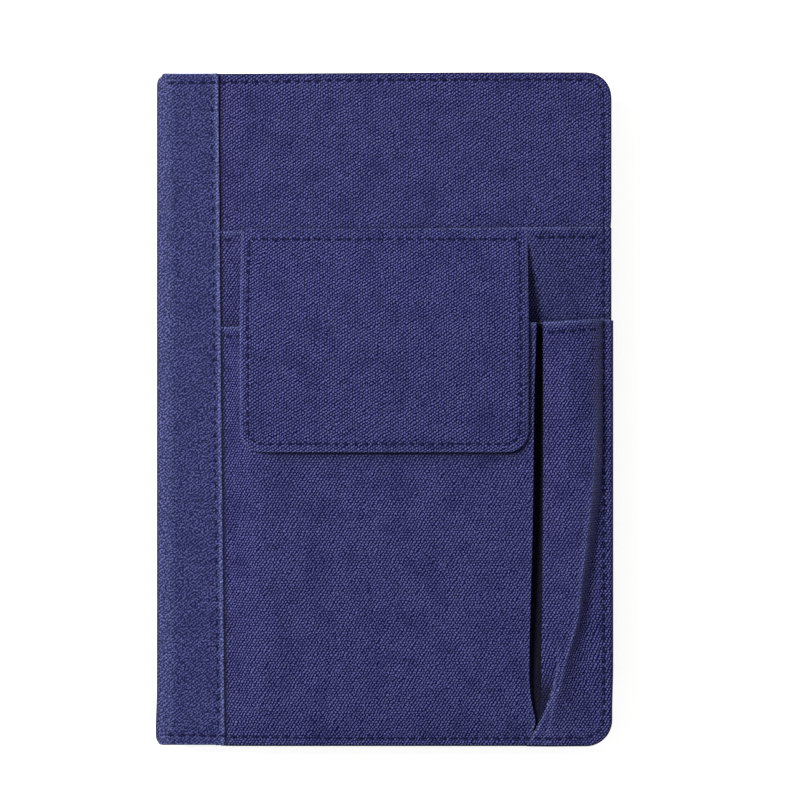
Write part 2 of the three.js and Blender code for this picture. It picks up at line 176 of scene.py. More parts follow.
def fold(w, radius, side):
    """How far out and how far down cloth is, w past the start of its bend round an edge."""
    quarter = radius * math.pi / 2
    w = np.asarray(w, float)
    first = np.clip(w, 0, quarter) / radius
    second = np.clip(w - quarter - side, 0, quarter) / radius
    out = np.minimum(w, 0) + radius * np.sin(first) - radius * (1 - np.cos(second))
    out = out - np.maximum(w - 2 * quarter - side, 0)
    down = radius * (1 - np.cos(first)) + np.clip(w - quarter, 0, side) + radius * np.sin(second)
    return out, down


def fold_lines(radius, side, turn, steps=4):
    """Places along a fold: its bends finely, its flats coarsely. A turn of None stops at the side's foot."""
    quarter = radius * math.pi / 2
    stops = [quarter * k / steps for k in range(1, steps + 1)]
    if side > 0:
        stops.append(quarter + side)
    if turn is not None:
        stops += [quarter + side + quarter * k / steps for k in range(1, steps + 1)]
        stops += [2 * quarter + side + turn * k / 3 for k in range(1, 4)]
    return np.array(stops)


def beside_band(x, y):
    """Painted shade for cloth in the angle beside the band's free edge, which light hardly reaches."""
    gap = x - band_edge(y) - 0.1
    return near_to(np.maximum(gap, 0), 0.8) * (gap > -1.5)


BESIDE_BAND = [-0.6, 0.1, 0.35, 0.6, 0.9, 1.25, 1.8, 4.5]  # grid lines beside the band's free edge


def seam_inset(x):
    """The edge seam's inset at head and tail, a little more on the spine."""
    return SEAM + 0.75 * (1 - smooth((x - LEFT) / 70))


def settle(x, y):
    """The head edge dips a little towards the spine."""
    return y - 0.5 * (1 - smooth((x - LEFT) / 120)) * smooth((y - 60) / 45)


# ---------------------------------------------------------------- surfaces


class Surface:
    """Quads over rows of points, with flat cloth coordinates and a wear-and-shade value per point (rubbing
    above 0, painted shade below), which becomes one mesh piece.
    """

    def __init__(self):
        self.points = []
        self.flat = []
        self.wear_and_shade = []
        self.faces = []

    def _rows(self, points, flat, wear_and_shade):
        start = sum(len(p) for p in self.points)
        shape = points.shape[:2]
        self.points.append(points.reshape(-1, 3))
        self.flat.append(flat.reshape(-1, 2))
        self.wear_and_shade.append(np.broadcast_to(wear_and_shade, shape).reshape(-1).astype(float))
        return start + np.arange(shape[0] * shape[1]).reshape(shape)

    def _quads(self, index):
        a, b = index[:-1, :-1].ravel(), index[:-1, 1:].ravel()
        c, d = index[1:, 1:].ravel(), index[1:, :-1].ravel()
        self.faces += list(zip(a.tolist(), b.tolist(), c.tolist(), d.tolist()))

    def grid(self, points, flat, wear_and_shade=0.0):
        index = self._rows(points, flat, wear_and_shade)
        self._quads(index)
        return index

    def strip(self, edge, points, flat, wear_and_shade=0.0):
        """More rows that go on from points already there, whose numbers are edge."""
        index = self._rows(points, flat, wear_and_shade)
        self._quads(np.vstack([edge[None, :], index]))
        return index

    def piece(self, name, up, thickness=0.0, crosswise=False):
        """The mesh, its first face looking along up, with its thickness added on the other side.
        Crosswise cloth is cut with its warp across the book."""
        flat = np.vstack(self.flat)
        flat = flat[:, ::-1] if crosswise else flat
        piece = new_piece(name, np.vstack(self.points), self.faces, flat, up)
        worn = piece.data.attributes.new("wear_and_shade", "FLOAT", "POINT")
        worn.data.foreach_set("value", np.concatenate(self.wear_and_shade).astype(np.float32))
        if thickness:
            solid = piece.modifiers.new("thickness", "SOLIDIFY")
            solid.thickness = thickness * MM
            solid.offset = -1
            apply_modifiers(piece)
            sharp_edges(piece, 65)
        return piece


def new_piece(name, points, faces, flat, up=None):
    """A smooth piece from points in millimetres, faces, and each point's place on the flat cloth."""
    mesh = bpy.data.meshes.new(name)
    mesh.from_pydata([tuple(p) for p in points * MM], [], faces)
    piece = bpy.data.objects.new(name, mesh)
    bpy.context.scene.collection.objects.link(piece)
    face_outward(mesh, up)
    layer = mesh.uv_layers.new(name="cloth_mm")
    loops = np.empty(len(mesh.loops), np.int32)
    mesh.loops.foreach_get("vertex_index", loops)
    layer.data.foreach_set("uv", flat[loops].astype(np.float32).ravel())
    for polygon in mesh.polygons:
        polygon.use_smooth = True
    return piece


def face_outward(mesh, up=None, weld=False):
    """Turns the faces outward or, on an open surface, so that the first looks along up."""
    work = bmesh.new()
    work.from_mesh(mesh)
    if weld:
        bmesh.ops.remove_doubles(work, verts=work.verts, dist=1e-7)
    bmesh.ops.recalc_face_normals(work, faces=work.faces)
    work.faces.ensure_lookup_table()
    if up is not None and work.faces[0].normal.dot(Vector(up)) < 0:
        bmesh.ops.reverse_faces(work, faces=work.faces)
    work.to_mesh(mesh)
    work.free()


def apply_modifiers(piece):
    graph = bpy.context.evaluated_depsgraph_get()
    mesh = bpy.data.meshes.new_from_object(piece.evaluated_get(graph), depsgraph=graph)
    piece.modifiers.clear()
    piece.data = mesh


def sharp_edges(piece, degrees):
    work = bmesh.new()
    work.from_mesh(piece.data)
    for edge in work.edges:
        if len(edge.link_faces) == 2 and edge.calc_face_angle() > math.radians(degrees):
            edge.smooth = False
    work.to_mesh(piece.data)
    work.free()


def stack(x, y, z):
    x, y, z = np.broadcast_arrays(x, y, z)
    return np.stack([x, y, z], axis=-1).astype(float)


def round_corner(x, y, x1, y0, y1, radius):
    """Bends a rectangular grid's fore-edge corners into quarter circles; grid lines keep even insets."""
    out_x, out_y = x.copy(), y.copy()
    for edge, sign in ((y1, 1), (y0, -1)):
        a = (x - (x1 - radius)) / radius
        b = sign * (y - (edge - sign * radius)) / radius
        inside = (a > 0) & (b > 0)
        reach = np.maximum(a, b)
        safe = np.where(inside, reach, 1)
        angle = np.where(a >= b, math.pi / 4 * b / safe, math.pi / 2 - math.pi / 4 * a / safe)
        out_x = np.where(inside, x1 - radius + radius * reach * np.cos(angle), out_x)
        out_y = np.where(inside, edge - sign * radius + sign * radius * reach * np.sin(angle), out_y)
    return out_x, out_y


def outward(x, y, x1, y0, y1, radius):
    """The outline's outward direction at points on it: fore edge, head, tail or a corner between them."""
    core_x = np.minimum(x, x1 - radius)
    core_y = np.clip(y, y0 + radius, y1 - radius)
    dx, dy = x - core_x, y - core_y
    length = np.maximum(np.hypot(dx, dy), 1e-9)
    return dx / length, dy / length


def wrap(surface, edge, points, flat, normals, radius, side, turn, out_z=1, pinch=None):
    """Takes a surface round an edge: along normals, then down, then back under the board."""
    ws = fold_lines(radius, side, turn)
    out, down = fold(ws, radius, side)
    nx, ny = normals
    rows, flats = [], []
    for w, o, d in zip(ws, out, down):
        o = np.full(len(points), o)
        if pinch is not None:
            o = np.maximum(o, -pinch)
        rows.append(stack(points[:, 0] + nx * o, points[:, 1] + ny * o, points[:, 2] - out_z * d))
        flats.append(pair(flat[:, 0] + nx * w, flat[:, 1] + ny * w))
    wear_and_shade = 0.35 * near_to(ws - radius * 0.15, radius * 0.35)  # rubbed where the bend begins
    wear_and_shade = wear_and_shade - smooth((ws / radius - 0.2) / 0.45)  # and painted shade on the rim, which turns from the light
    return surface.strip(edge, np.array(rows), np.array(flats), wear_and_shade[:, None])


def hem(surface, edge, points, flat, away, normal, radius, depth, flat_step=(0, 1)):
    """Folds a free edge under itself: away is out of the panel, normal out of its face."""
    ws = fold_lines(radius, 0, depth)
    out, down = fold(ws, radius, 0)
    rows = np.array([points + away * o - normal * d for o, d in zip(out, down)])
    flats = np.array([flat + np.array(flat_step) * w for w in ws])
    wear_and_shade = near_to(ws - radius * 1.2, radius * 1.5)[:, None]
    return surface.strip(edge, rows, flats, wear_and_shade)


def mouth_wear(below):
    """A pocket's mouth, rubbed by what goes in and out."""
    return 0.7 * near_to(below, 0.7)


def seam_dip(distance, depth=0.3, width=0.65):
    """How far the cloth is pulled in along a row of stitches."""
    return -depth * near_to(distance, width)


INSETS = [0, 0.6, 1.2, 1.8, 2.6, 3.8, 5.2]  # grid lines inside the bend, close about the edge seam


def edge_lines(start, end, sign, step=2.5):
    """Grid lines that end at an edge with the lines of INSETS there."""
    near = [end - sign * k for k in INSETS] + [end - sign * (CORNER - EDGE)]
    far = near[-1]
    count = max(1, int(round(abs(far - start) / step)))
    return list(np.linspace(start, far, count, endpoint=False)) + near[::-1]


# ---------------------------------------------------------------- materials


class Nodes:
    """A material's node tree, written a node at a time."""

    def __init__(self, name):
        self.material = bpy.data.materials.new(name)
        self.material.use_nodes = True
        self.tree = self.material.node_tree
        self.shader = self.tree.nodes["Principled BSDF"]

    def node(self, kind, inputs=(), **settings):
        made = self.tree.nodes.new(kind)
        for key, value in settings.items():
            setattr(made, key, value)
        for key, value in dict(inputs).items():
            self.put(made.inputs[key], value)
        return made

    def put(self, socket, value):
        if isinstance(value, bpy.types.NodeSocket):
            self.tree.links.new(value, socket)
        else:
            socket.default_value = value

    def math(self, operation, a, b=0.0, c=0.0):
        made = self.node("ShaderNodeMath", {0: a, 1: b, 2: c}, operation=operation)
        return made.outputs[0]

    def times(self, a, b, plus=0.0):
        return self.math("MULTIPLY_ADD", a, b, plus)

    def wave(self, coordinate, period):
        """A sine along a coordinate, its period in millimetres."""
        return self.math("SINE", self.times(coordinate, 2 * math.pi / (period * MM)))

    def place(self):
        return self.node("ShaderNodeTexCoord").outputs["Object"]

    def cloth(self):
        """The place on the flat cloth, in millimetres."""
        return self.node("ShaderNodeUVMap", uv_map="cloth_mm").outputs[0]

    def parts(self, vector):
        return self.node("ShaderNodeSeparateXYZ", {0: vector}).outputs

    def mix(self, share, a, b):
        made = self.node("ShaderNodeMix", data_type="RGBA")
        self.put(made.inputs[0], share)
        self.put(made.inputs[6], a)
        self.put(made.inputs[7], b)
        return made.outputs[2]

    def ramp(self, value, low, high):
        made = self.node("ShaderNodeMapRange", {0: value, 1: low, 2: high})
        return made.outputs[0]

    def noise(self, vector, scale, detail=2.0, roughness=0.5):
        inputs = {"Vector": vector, "Scale": scale, "Detail": detail, "Roughness": roughness}
        return self.node("ShaderNodeTexNoise", inputs).outputs[0]

    def bump(self, height, distance):
        inputs = {"Height": height, "Distance": distance, "Strength": 1.0}
        return self.node("ShaderNodeBump", inputs).outputs[0]

    def set(self, **values):
        for key, value in values.items():
            self.put(self.shader.inputs[key.replace("_", " ")], value)


def rgb(r, g, b):
    return (r, g, b, 1.0)


def canvas_material(name, dark, light, worn, pitch=(0.8, 0.53), depth=0.16, rough=0.58, rib=0.19, grain=1.3,
                    yarn=2.6, regular=1.0):
    """Coated cloth with a canvas weave, whose warp and weft are pitch apart: pits between crowned threads,
    coloured with painted shade in the pits and painted highlight on the crowns, uneven like hand-inked cloth,
    rubbed where wear_and_shade is above 0 and in painted shade where it is below. Rib is how far
    the warp stands out, grain and yarn how strong and how fine its irregular yarns are, and regular how
    clearly the weave shows through them."""
    n = Nodes(name)
    flat = n.cloth()
    drift = n.node("ShaderNodeTexNoise", {"Vector": flat, "Scale": 0.5, "Detail": 3.0}).outputs[1]
    moved = n.node("ShaderNodeVectorMath", {0: drift, 1: (1.3, 1.3, 0)}, operation="MULTIPLY").outputs[0]
    moved = n.node("ShaderNodeVectorMath", {0: flat, 1: moved}, operation="ADD").outputs[0]
    parts = n.parts(moved)
    u = n.times(parts[0], math.pi / pitch[0])
    v = n.times(parts[1], math.pi / pitch[1])
    rising = n.math("COSINE", n.math("SUBTRACT", u, v))
    falling = n.math("COSINE", n.math("ADD", u, v))
    upright = n.math("COSINE", n.times(u, 2.0))
    weave = n.times(rising, 0.34)
    weave = n.times(falling, 0.17, weave)
    weave = n.times(upright, rib, weave)
    uneven = n.times(n.ramp(n.noise(flat, 1.2, 2.0, 0.6), 0.3, 0.7), 1.5, 0.25)
    patches = n.times(n.ramp(n.noise(flat, 0.2, 2.0, 0.6), 0.3, 0.7), 0.8, 0.55)
    uneven = n.times(uneven, n.times(patches, regular))
    fine = n.noise(flat, yarn, 2.0, 0.6)
    height = n.times(weave, uneven, 0.5)
    height = n.times(n.math("SUBTRACT", fine, 0.5), grain, height)

    blotch = n.noise(flat, 0.11, 3.0, 0.6)
    # Colour follows the weave's height: painted shade in the pits, painted highlight on the crowns, around
    # the cloth's own navy.
    lit = n.math("POWER", n.ramp(height, 0.43, 0.72), 1.6)
    tone = n.times(n.ramp(blotch, 0.3, 0.7), 0.56, 0.68)
    colour = n.mix(n.math("MINIMUM", n.times(lit, tone), 1.0), dark, light)
    wear_and_shade = n.node("ShaderNodeAttribute", attribute_name="wear_and_shade").outputs[2]
    rubbed = n.times(wear_and_shade, n.ramp(n.noise(flat, 0.9, 3.0, 0.7), 0.15, 0.7))
    rubbed = n.times(rubbed, n.times(lit, 0.75, 0.2))
    colour = n.mix(n.math("MAXIMUM", rubbed, 0.0), colour, worn)
    # Painted shade where the attribute is below 0: the cloth is darkened towards near black in angles and
    # hollows.
    painted_shade_share = n.math("MAXIMUM", n.times(wear_and_shade, -1.0), 0.0)
    colour = n.mix(n.math("MINIMUM", painted_shade_share, 1.0), colour, rgb(0.003, 0.003, 0.012))
    n.set(Base_Color=colour)
    n.set(Roughness=n.times(fine, 0.16, rough - 0.08))
    n.set(Normal=n.bump(height, depth * MM))
    n.set(Specular_IOR_Level=0.07)
    return n.material


def thread_material(name, colour, tip):
    n = Nodes(name)
    flat = n.cloth()
    twist = n.node("ShaderNodeTexWave", {"Vector": flat, "Scale": 2.2, "Distortion": 1.0, "Detail": 1.0},
                   bands_direction="DIAGONAL").outputs[1]
    n.set(Base_Color=n.mix(twist, colour, tip))
    n.set(Normal=n.bump(twist, 0.05 * MM), Roughness=0.7, Specular_IOR_Level=0.06)
    return n.material


# Near-black needle holes: painted shade standing in for the holes' depth.
def hole_shade_material(name):
    n = Nodes(name)
    where = n.place()
    n.set(Base_Color=n.mix(n.noise(where, 2500.0), rgb(0.001, 0.001, 0.006), rgb(0.003, 0.003, 0.015)))
    n.set(Roughness=0.9, Specular_IOR_Level=0.1)
    return n.material


def board_material(name):
    """Grey bookbinding board: pressed fibres and flecks."""
    n = Nodes(name)
    where = n.place()
    fibre = n.noise(where, 900.0, 4.0, 0.7)
    fleck = n.ramp(n.noise(where, 2600.0, 1.0), 0.62, 0.7)
    base = n.mix(fibre, rgb(0.2, 0.18, 0.15), rgb(0.34, 0.31, 0.27))
    n.set(Base_Color=n.mix(n.times(fleck, 0.6), base, rgb(0.09, 0.08, 0.07)))
    n.set(Normal=n.bump(fibre, 0.08 * MM), Roughness=0.92, Specular_IOR_Level=0.2)
    return n.material


def paper_material(name, low, high, ruled=False, sheets=True):
    """Uncoated paper: fibres, sheet edges on upright sides and, on level ruled pages, faint writing lines."""
    n = Nodes(name)
    where = n.place()
    parts = n.parts(where)
    fibre = n.noise(where, 1400.0, 4.0, 0.65)
    colour = n.mix(fibre, low, high)
    normal = n.node("ShaderNodeNewGeometry").outputs["Normal"]
    face = n.math("ABSOLUTE", n.parts(normal)[2])
    height = n.times(fibre, 0.3)
    if sheets:
        side = n.math("SUBTRACT", 1.0, n.ramp(face, 0.3, 0.8))
        wobble = n.times(n.noise(where, 60.0, 2.0), 0.0006)
        level = n.math("ADD", parts[2], wobble)
        edge = n.wave(level, 0.24)
        shade = n.times(n.ramp(edge, 0.1, -1.0), n.times(side, 0.42))
        colour = n.mix(shade, colour, rgb(0.36, 0.33, 0.27))
        height = n.times(n.times(edge, side), 0.6, height)
    if ruled:
        colour = ruling(n, parts, face, colour)
    n.set(Base_Color=colour, Normal=n.bump(height, 0.05 * MM), Roughness=0.86, Specular_IOR_Level=0.25)
    return n.material


def ruling(n, parts, face, colour):
    """Faint blue writing lines every 7 mm and a column rule, kept clear of the page's edges."""
    def rule(coordinate, offset, pitch, width):
        phase = n.math("FRACT", n.math("DIVIDE", n.math("ADD", coordinate, offset * MM), pitch * MM))
        gap = n.math("ABSOLUTE", n.math("SUBTRACT", phase, 0.5))
        return n.ramp(gap, 0.5 - width / pitch, 0.5)

    x, y = parts[0], parts[1]
    inside = n.math("LESS_THAN", n.math("ABSOLUTE", n.math("SUBTRACT", x, 2 * MM)), 62 * MM)
    inside = n.times(inside, n.math("LESS_THAN", n.math("ABSOLUTE", y), 93 * MM))
    rows = rule(y, 0, 7, 0.35)
    columns = rule(x, 12, 31, 0.35)
    ink = n.math("MAXIMUM", rows, columns)
    ink = n.times(n.times(ink, inside), n.math("GREATER_THAN", face, 0.8))
    return n.mix(n.times(ink, 0.55), colour, rgb(0.25, 0.33, 0.5))


def metal_material(name):
    n = Nodes(name)
    where = n.place()
    scratch = n.noise(n.node("ShaderNodeMapping", {0: where, 3: (3000, 120, 300)}).outputs[0], 1.0, 3.0)
    n.set(Base_Color=n.mix(scratch, rgb(0.45, 0.45, 0.47), rgb(0.66, 0.66, 0.68)))
    n.set(Roughness=n.times(scratch, 0.25, 0.22), Metallic=1.0)
    return n.material


def gauze_material(name):
    n = Nodes(name)
    where = n.place()
    parts = n.parts(where)
    up = n.wave(parts[2], 0.9)
    along = n.wave(parts[1], 0.9)
    weave = n.math("MAXIMUM", up, along)
    n.set(Base_Color=n.mix(n.ramp(weave, -0.2, 0.8), rgb(0.32, 0.27, 0.17), rgb(0.74, 0.7, 0.6)))
    n.set(Normal=n.bump(weave, 0.15 * MM), Roughness=0.9)
    return n.material


def silk_material(name):
    """Headband: navy and cream silk wound round a core, in bands a thread or two wide."""
    n = Nodes(name)
    where = n.place()
    parts = n.parts(where)
    turn = n.wave(parts[2], 1.6)
    strand = n.wave(parts[2], 0.27)
    n.set(Base_Color=n.mix(n.ramp(turn, -0.15, 0.15), rgb(0.02, 0.022, 0.09), rgb(0.72, 0.69, 0.6)))
    n.set(Normal=n.bump(strand, 0.06 * MM), Roughness=0.4, Sheen_Weight=0.2)
    return n.material


def patch_material(name):
    """Plain cloth, which has no flat cloth coordinates to weave on."""
    n = Nodes(name)
    grain = n.noise(n.place(), 1800.0, 3.0)
    n.set(Base_Color=n.mix(grain, rgb(0.01, 0.011, 0.04), rgb(0.04, 0.045, 0.14)))
    n.set(Normal=n.bump(grain, 0.08 * MM), Roughness=0.75)
    return n.material


def floor_material():
    n = Nodes("pale_floor")
    where = n.place()
    n.set(Base_Color=n.mix(n.noise(where, 3.0, 2.0), rgb(0.6, 0.6, 0.6), rgb(0.63, 0.63, 0.63)))
    n.set(Roughness=0.75, Specular_IOR_Level=0.2, Emission_Color=rgb(1, 1, 1), Emission_Strength=0.72)
    return n.material


# The weave's two colours: painted shade for the pits and painted highlight for the crowns; mixed, they give
# the cloth's own navy.
NAVY_SHADED_PIT = rgb(0.0, 0.0, 0.027)
NAVY_LIT_CROWN = rgb(0.078, 0.081, 0.224)
NAVY_WORN = rgb(0.15, 0.17, 0.37)
canvas = canvas_material("navy_canvas", NAVY_SHADED_PIT, NAVY_LIT_CROWN, NAVY_WORN)
spine_canvas = canvas_material(
    "navy_spine_canvas", rgb(0.002, 0.003, 0.034), rgb(0.058, 0.063, 0.176), NAVY_WORN, (0.7, 0.56), 0.09,
    0.56, rib=0.0, grain=2.2, yarn=1.8, regular=0.6)
lining_cloth = canvas_material(
    "navy_lining", rgb(0.006, 0.006, 0.02), rgb(0.022, 0.024, 0.07), rgb(0.03, 0.03, 0.08), (0.3, 0.3), 0.04,
    0.7)
thread_look = thread_material("navy_thread", rgb(0.003, 0.003, 0.018), rgb(0.011, 0.012, 0.055))
hole_shade_look = hole_shade_material("needle_hole_shade")
board_look = board_material("grey_board")
page_look = paper_material("ruled_paper", rgb(0.62, 0.595, 0.51), rgb(0.69, 0.67, 0.59), ruled=True)
endpaper_look = paper_material("endpaper", rgb(0.56, 0.54, 0.47), rgb(0.61, 0.59, 0.53), sheets=False)
metal_look = metal_material("nickel_magnet")
gauze_look = gauze_material("mull_gauze")
silk_look = silk_material("headband_silk")


def dress(piece, material, slot, body=None, *replaced):
    piece.data.materials.clear()
    piece.data.materials.append(material)
    if body:
        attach(piece, body)
    if replaced:
        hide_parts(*replaced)
    return piece


# ---------------------------------------------------------------- covers

BEND_X = RIGHT - EDGE  # where the cloth starts to bend over the edge
BEND_HEAD, BEND_TAIL = HEAD - EDGE, TAIL + EDGE
BEND_CORNER = CORNER - EDGE
FULLNESS = 0.22  # how far cloth that no pocket draws tight stands out at the fore edge


def edge_distance(x, y):
    """How far points of a cover are inside its bend line, on the three free sides."""
    core_x = np.maximum(x - (BEND_X - BEND_CORNER), 0)
    core_y = np.maximum(np.abs(y) - (BEND_HEAD - BEND_CORNER), 0)
    corner = np.where((core_x > 0) & (core_y > 0), BEND_CORNER - np.hypot(core_x, core_y), 1e3)
    return np.minimum(np.minimum(BEND_X - x, BEND_HEAD - np.abs(y)), corner)


def boundary(index, points, flat, sides):
    """The numbers, points and flat places along a grid's sides, walked as head, fore edge, tail."""
    picks = []
    if "head" in sides:
        picks.append(np.s_[-1, :-1] if "fore" in sides else np.s_[-1, :])
    if "fore" in sides:
        picks.append(np.s_[::-1, -1])
    if "tail" in sides:
        picks.append(np.s_[0, -2::-1] if "fore" in sides else np.s_[0, ::-1])
    take = lambda a: np.concatenate([a[p] for p in picks])
    return take(index), take(points), take(flat)


def beside_columns(y, start, end):
    """Grid lines from under the band, start from its edge, to end: close together beside the edge."""
    edge = band_edge(y)
    near = [edge + start] + [edge + k for k in BESIDE_BAND]
    return np.concatenate([near, np.linspace(near[-1], end, 24, endpoint=False)[1:]])


def cover_cloth(name, face, up, inner, seed):
    """Face cloth drawn over the board's three free edges and turned in on its inner face."""
    mouth = list(np.arange(SLIP_MOUTH - 1, SLIP_MOUTH + 4, 0.5))
    ys = np.array(sorted(edge_lines(0, BEND_TAIL, -1)[::-1] + edge_lines(0, BEND_HEAD, 1)[1:] + mouth))
    near = np.array(edge_lines(0, BEND_X, 1))
    rows_x = np.array([np.concatenate([beside_columns(y, -5, 0), near]) for y in ys])
    rows_y = np.repeat(ys[:, None], rows_x.shape[1], axis=1)
    x, y = round_corner(rows_x, rows_y, BEND_X, BEND_TAIL, BEND_HEAD, BEND_CORNER)
    inset = edge_distance(x, y)
    if up > 0:  # above the slip pocket, which draws it tight, the cloth stands a little fuller
        at_edge = smooth(1 - inset / 6) * smooth((x - BEND_X + 12) / 8)
        x = x + FULLNESS * smooth((y - slip_mouth(x)) / 4) * at_edge
    y = settle(x, y)
    z = face + up * (0.1 * unevenness(x, y, seed) * smooth(inset / 15) + seam_dip(inset - SEAM + EDGE))
    surface = Surface()
    points, flat = stack(x, y, z), pair(x, y)
    # Painted shade on the face cloth just above the slip pocket's mouth and beside the band.
    above = y - slip_mouth(x)
    painted_shade = 0.85 * np.exp(-np.maximum(above, 0) / 0.7) * (above > -1) * (up > 0)
    index = surface.grid(points, flat, -np.maximum(painted_shade, beside_band(x, y) * (up > 0)))
    edge, around, laid = boundary(index, points, flat, ("head", "fore", "tail"))
    normals = outward(around[:, 0], around[:, 1], BEND_X, BEND_TAIL, BEND_HEAD, BEND_CORNER)
    side = abs(face - inner) - 2 * EDGE - 0.08
    wrap(surface, edge, around, laid, normals, EDGE, side, TURN_IN - EDGE, up, BEND_CORNER - 0.3)
    return surface.piece(name, (0, 0, up), CLOTH)


def make_covers():
    front = dress(cover_cloth("front_cover_cloth_wrap", FACE, 1, INNER, 1), canvas, "canvas",
                  "front_cover", "front_cover_cloth")
    back = dress(cover_cloth("back_cover_cloth_wrap", BACK_FACE, -1, BACK_INNER, 2), canvas, "canvas",
                 "back_cover", "back_cover_cloth")
    return front, back


# ---------------------------------------------------------------- spine band

SPINE_ROUND = 2.4
BAND_SEAM = 1.8  # stitch row's inset from the band's free edge
BAND_DEPTH = 2.85  # how far the band goes down over the spine's ends before it turns in
BAND_ROLL, BAND_SIDE = 0.9, 1.0  # radius and straight part of that turn, before it is drawn to its depth
BAND_TURN_IN = 6.0


def band_path(front):
    """The band's outer line from mid-spine on to the cover, each point (x, z, normal x, normal z)."""
    top = BAND_TOP if front else 0.0
    way = 1 if front else -1
    path = []
    centre_x, centre_z = LEFT + SPINE_ROUND, top - way * SPINE_ROUND
    for z in np.linspace(MID_Z, centre_z, 6, endpoint=False):
        path.append((LEFT, z, -1.0, 0.0))
    for k in range(9):
        angle = math.pi / 2 * k / 8
        nx, nz = -math.cos(angle), way * math.sin(angle)
        path.append((centre_x + SPINE_ROUND * nx, centre_z + SPINE_ROUND * nz, nx, nz))
    return path, top, way


def spine_band(name, front):
    """Half of the cloth band: from the middle of the spine, round its corner and on to the cover."""
    path, top, way = band_path(front)
    cover_depth = COVER_THICK + (top - FACE if front else 0.0)
    ys = lines((TAIL + EDGE, 0.6), (TAIL + EDGE + 3, 2.4), (0, 2.4), (HEAD - EDGE - 3, 0.6), (HEAD - EDGE, 1))
    flats_a, total = [0.0], 0.0
    for p, q in zip(path, path[1:]):
        total += math.hypot(q[0] - p[0], q[1] - p[1])
        flats_a.append(total)
    reach = np.array([0.08, 0.2, 0.35, 0.5, 0.62, 0.74, 0.8, 0.84, 0.88, 0.92, 0.94, 0.97, 1.0])
    columns = len(path) + len(reach)
    points = np.zeros((len(ys), columns, 3))
    normals = np.zeros((len(ys), columns, 3))
    depth = np.zeros((len(ys), columns))
    flat = np.zeros((len(ys), columns, 2))
    for j, y in enumerate(ys):
        bow = 0.3 + 0.4 * math.exp(-(((y - TAIL - 3) / 9) ** 2))
        bow -= 1.5 * rounding((HEAD - EDGE - y) / 3.2) + 0.8 * rounding((y - TAIL - EDGE) / 3.2)
        for i, (x, z, nx, nz) in enumerate(path):
            points[j, i] = (x + nx * bow, settle(x, y), z)
            normals[j, i] = (nx, 0, nz)
            depth[j, i] = BAND_DEPTH
            flat[j, i] = (flats_a[i], y)
        start, end = path[-1][0], band_edge(y) - 0.3
        for k, share in enumerate(reach):
            i = len(path) + k
            x = start + (end - start) * share
            dip = seam_dip(y - TAIL - seam_inset(x)) + seam_dip(HEAD - y - seam_inset(x))
            z = top + way * (0.14 * unevenness(x, y, 5) * (share < 0.9) + dip)
            z += way * seam_dip(end - x - BAND_SEAM, 0.2, 0.9)
            z += (0.45 if front else 0.0) * smooth((share - 0.86) / 0.1)
            points[j, i] = (x, settle(x, y), z if front else max(z, 0.0))
            normals[j, i] = (0, 0, way)
            depth[j, i] = BAND_DEPTH + (cover_depth - BAND_DEPTH - 0.1) * smooth(share * 2.5)
            flat[j, i] = (flats_a[-1] + x - start, y)
    surface = Surface()
    wear_and_shade = np.zeros((len(ys), columns))
    # Painted shade on the spine's upright side columns.
    wear_and_shade[:, :9] = -0.4
    wear_and_shade[:, 11:16] = 0.35
    wear_and_shade[:, -2:] = 0.85
    index = surface.grid(points, flat, wear_and_shade)
    for row, sign in ((-1, 1), (0, -1)):
        band_turn_in(surface, index[row], points[row], normals[row], depth[row], flat[row], sign)
    away = np.array([1.0, 0, 0])
    hem(surface, index[:, -1], points[:, -1], flat[:, -1], away, normals[:, -1], 0.36, 1.3, (1, 0))
    return surface.piece(name, (-1, 0, 0), POCKET_CLOTH)


def band_turn_in(surface, edge, points, normals, depth, flat, sign):
    """Turns the band over the board's head or tail and under it."""
    ws = fold_lines(BAND_ROLL, BAND_SIDE, BAND_TURN_IN)
    stretch = depth / (2 * BAND_ROLL + BAND_SIDE)
    rows, flats = [], []
    for w, out, down in zip(ws, *fold(ws, BAND_ROLL, BAND_SIDE)):
        rows.append(points + sign * out * HEADWARD - normals * (down * stretch)[:, None])
        flats.append(flat + np.array((0, sign * w)))
    surface.strip(edge, np.array(rows), np.array(flats), near_to(ws - 1)[:, None])


def make_spine():
    front = dress(spine_band("front_spine_band_cloth", True), spine_canvas, "spine_canvas")
    back = dress(spine_band("back_spine_band_cloth", False), spine_canvas, "spine_canvas")
    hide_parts("front_spine_band", "spine_band")
    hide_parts("back_spine_band")
    for piece, cover in ((front, "front_cover"), (back, "back_cover")):
        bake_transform(piece)
    return front, back


# ---------------------------------------------------------------- slip pocket


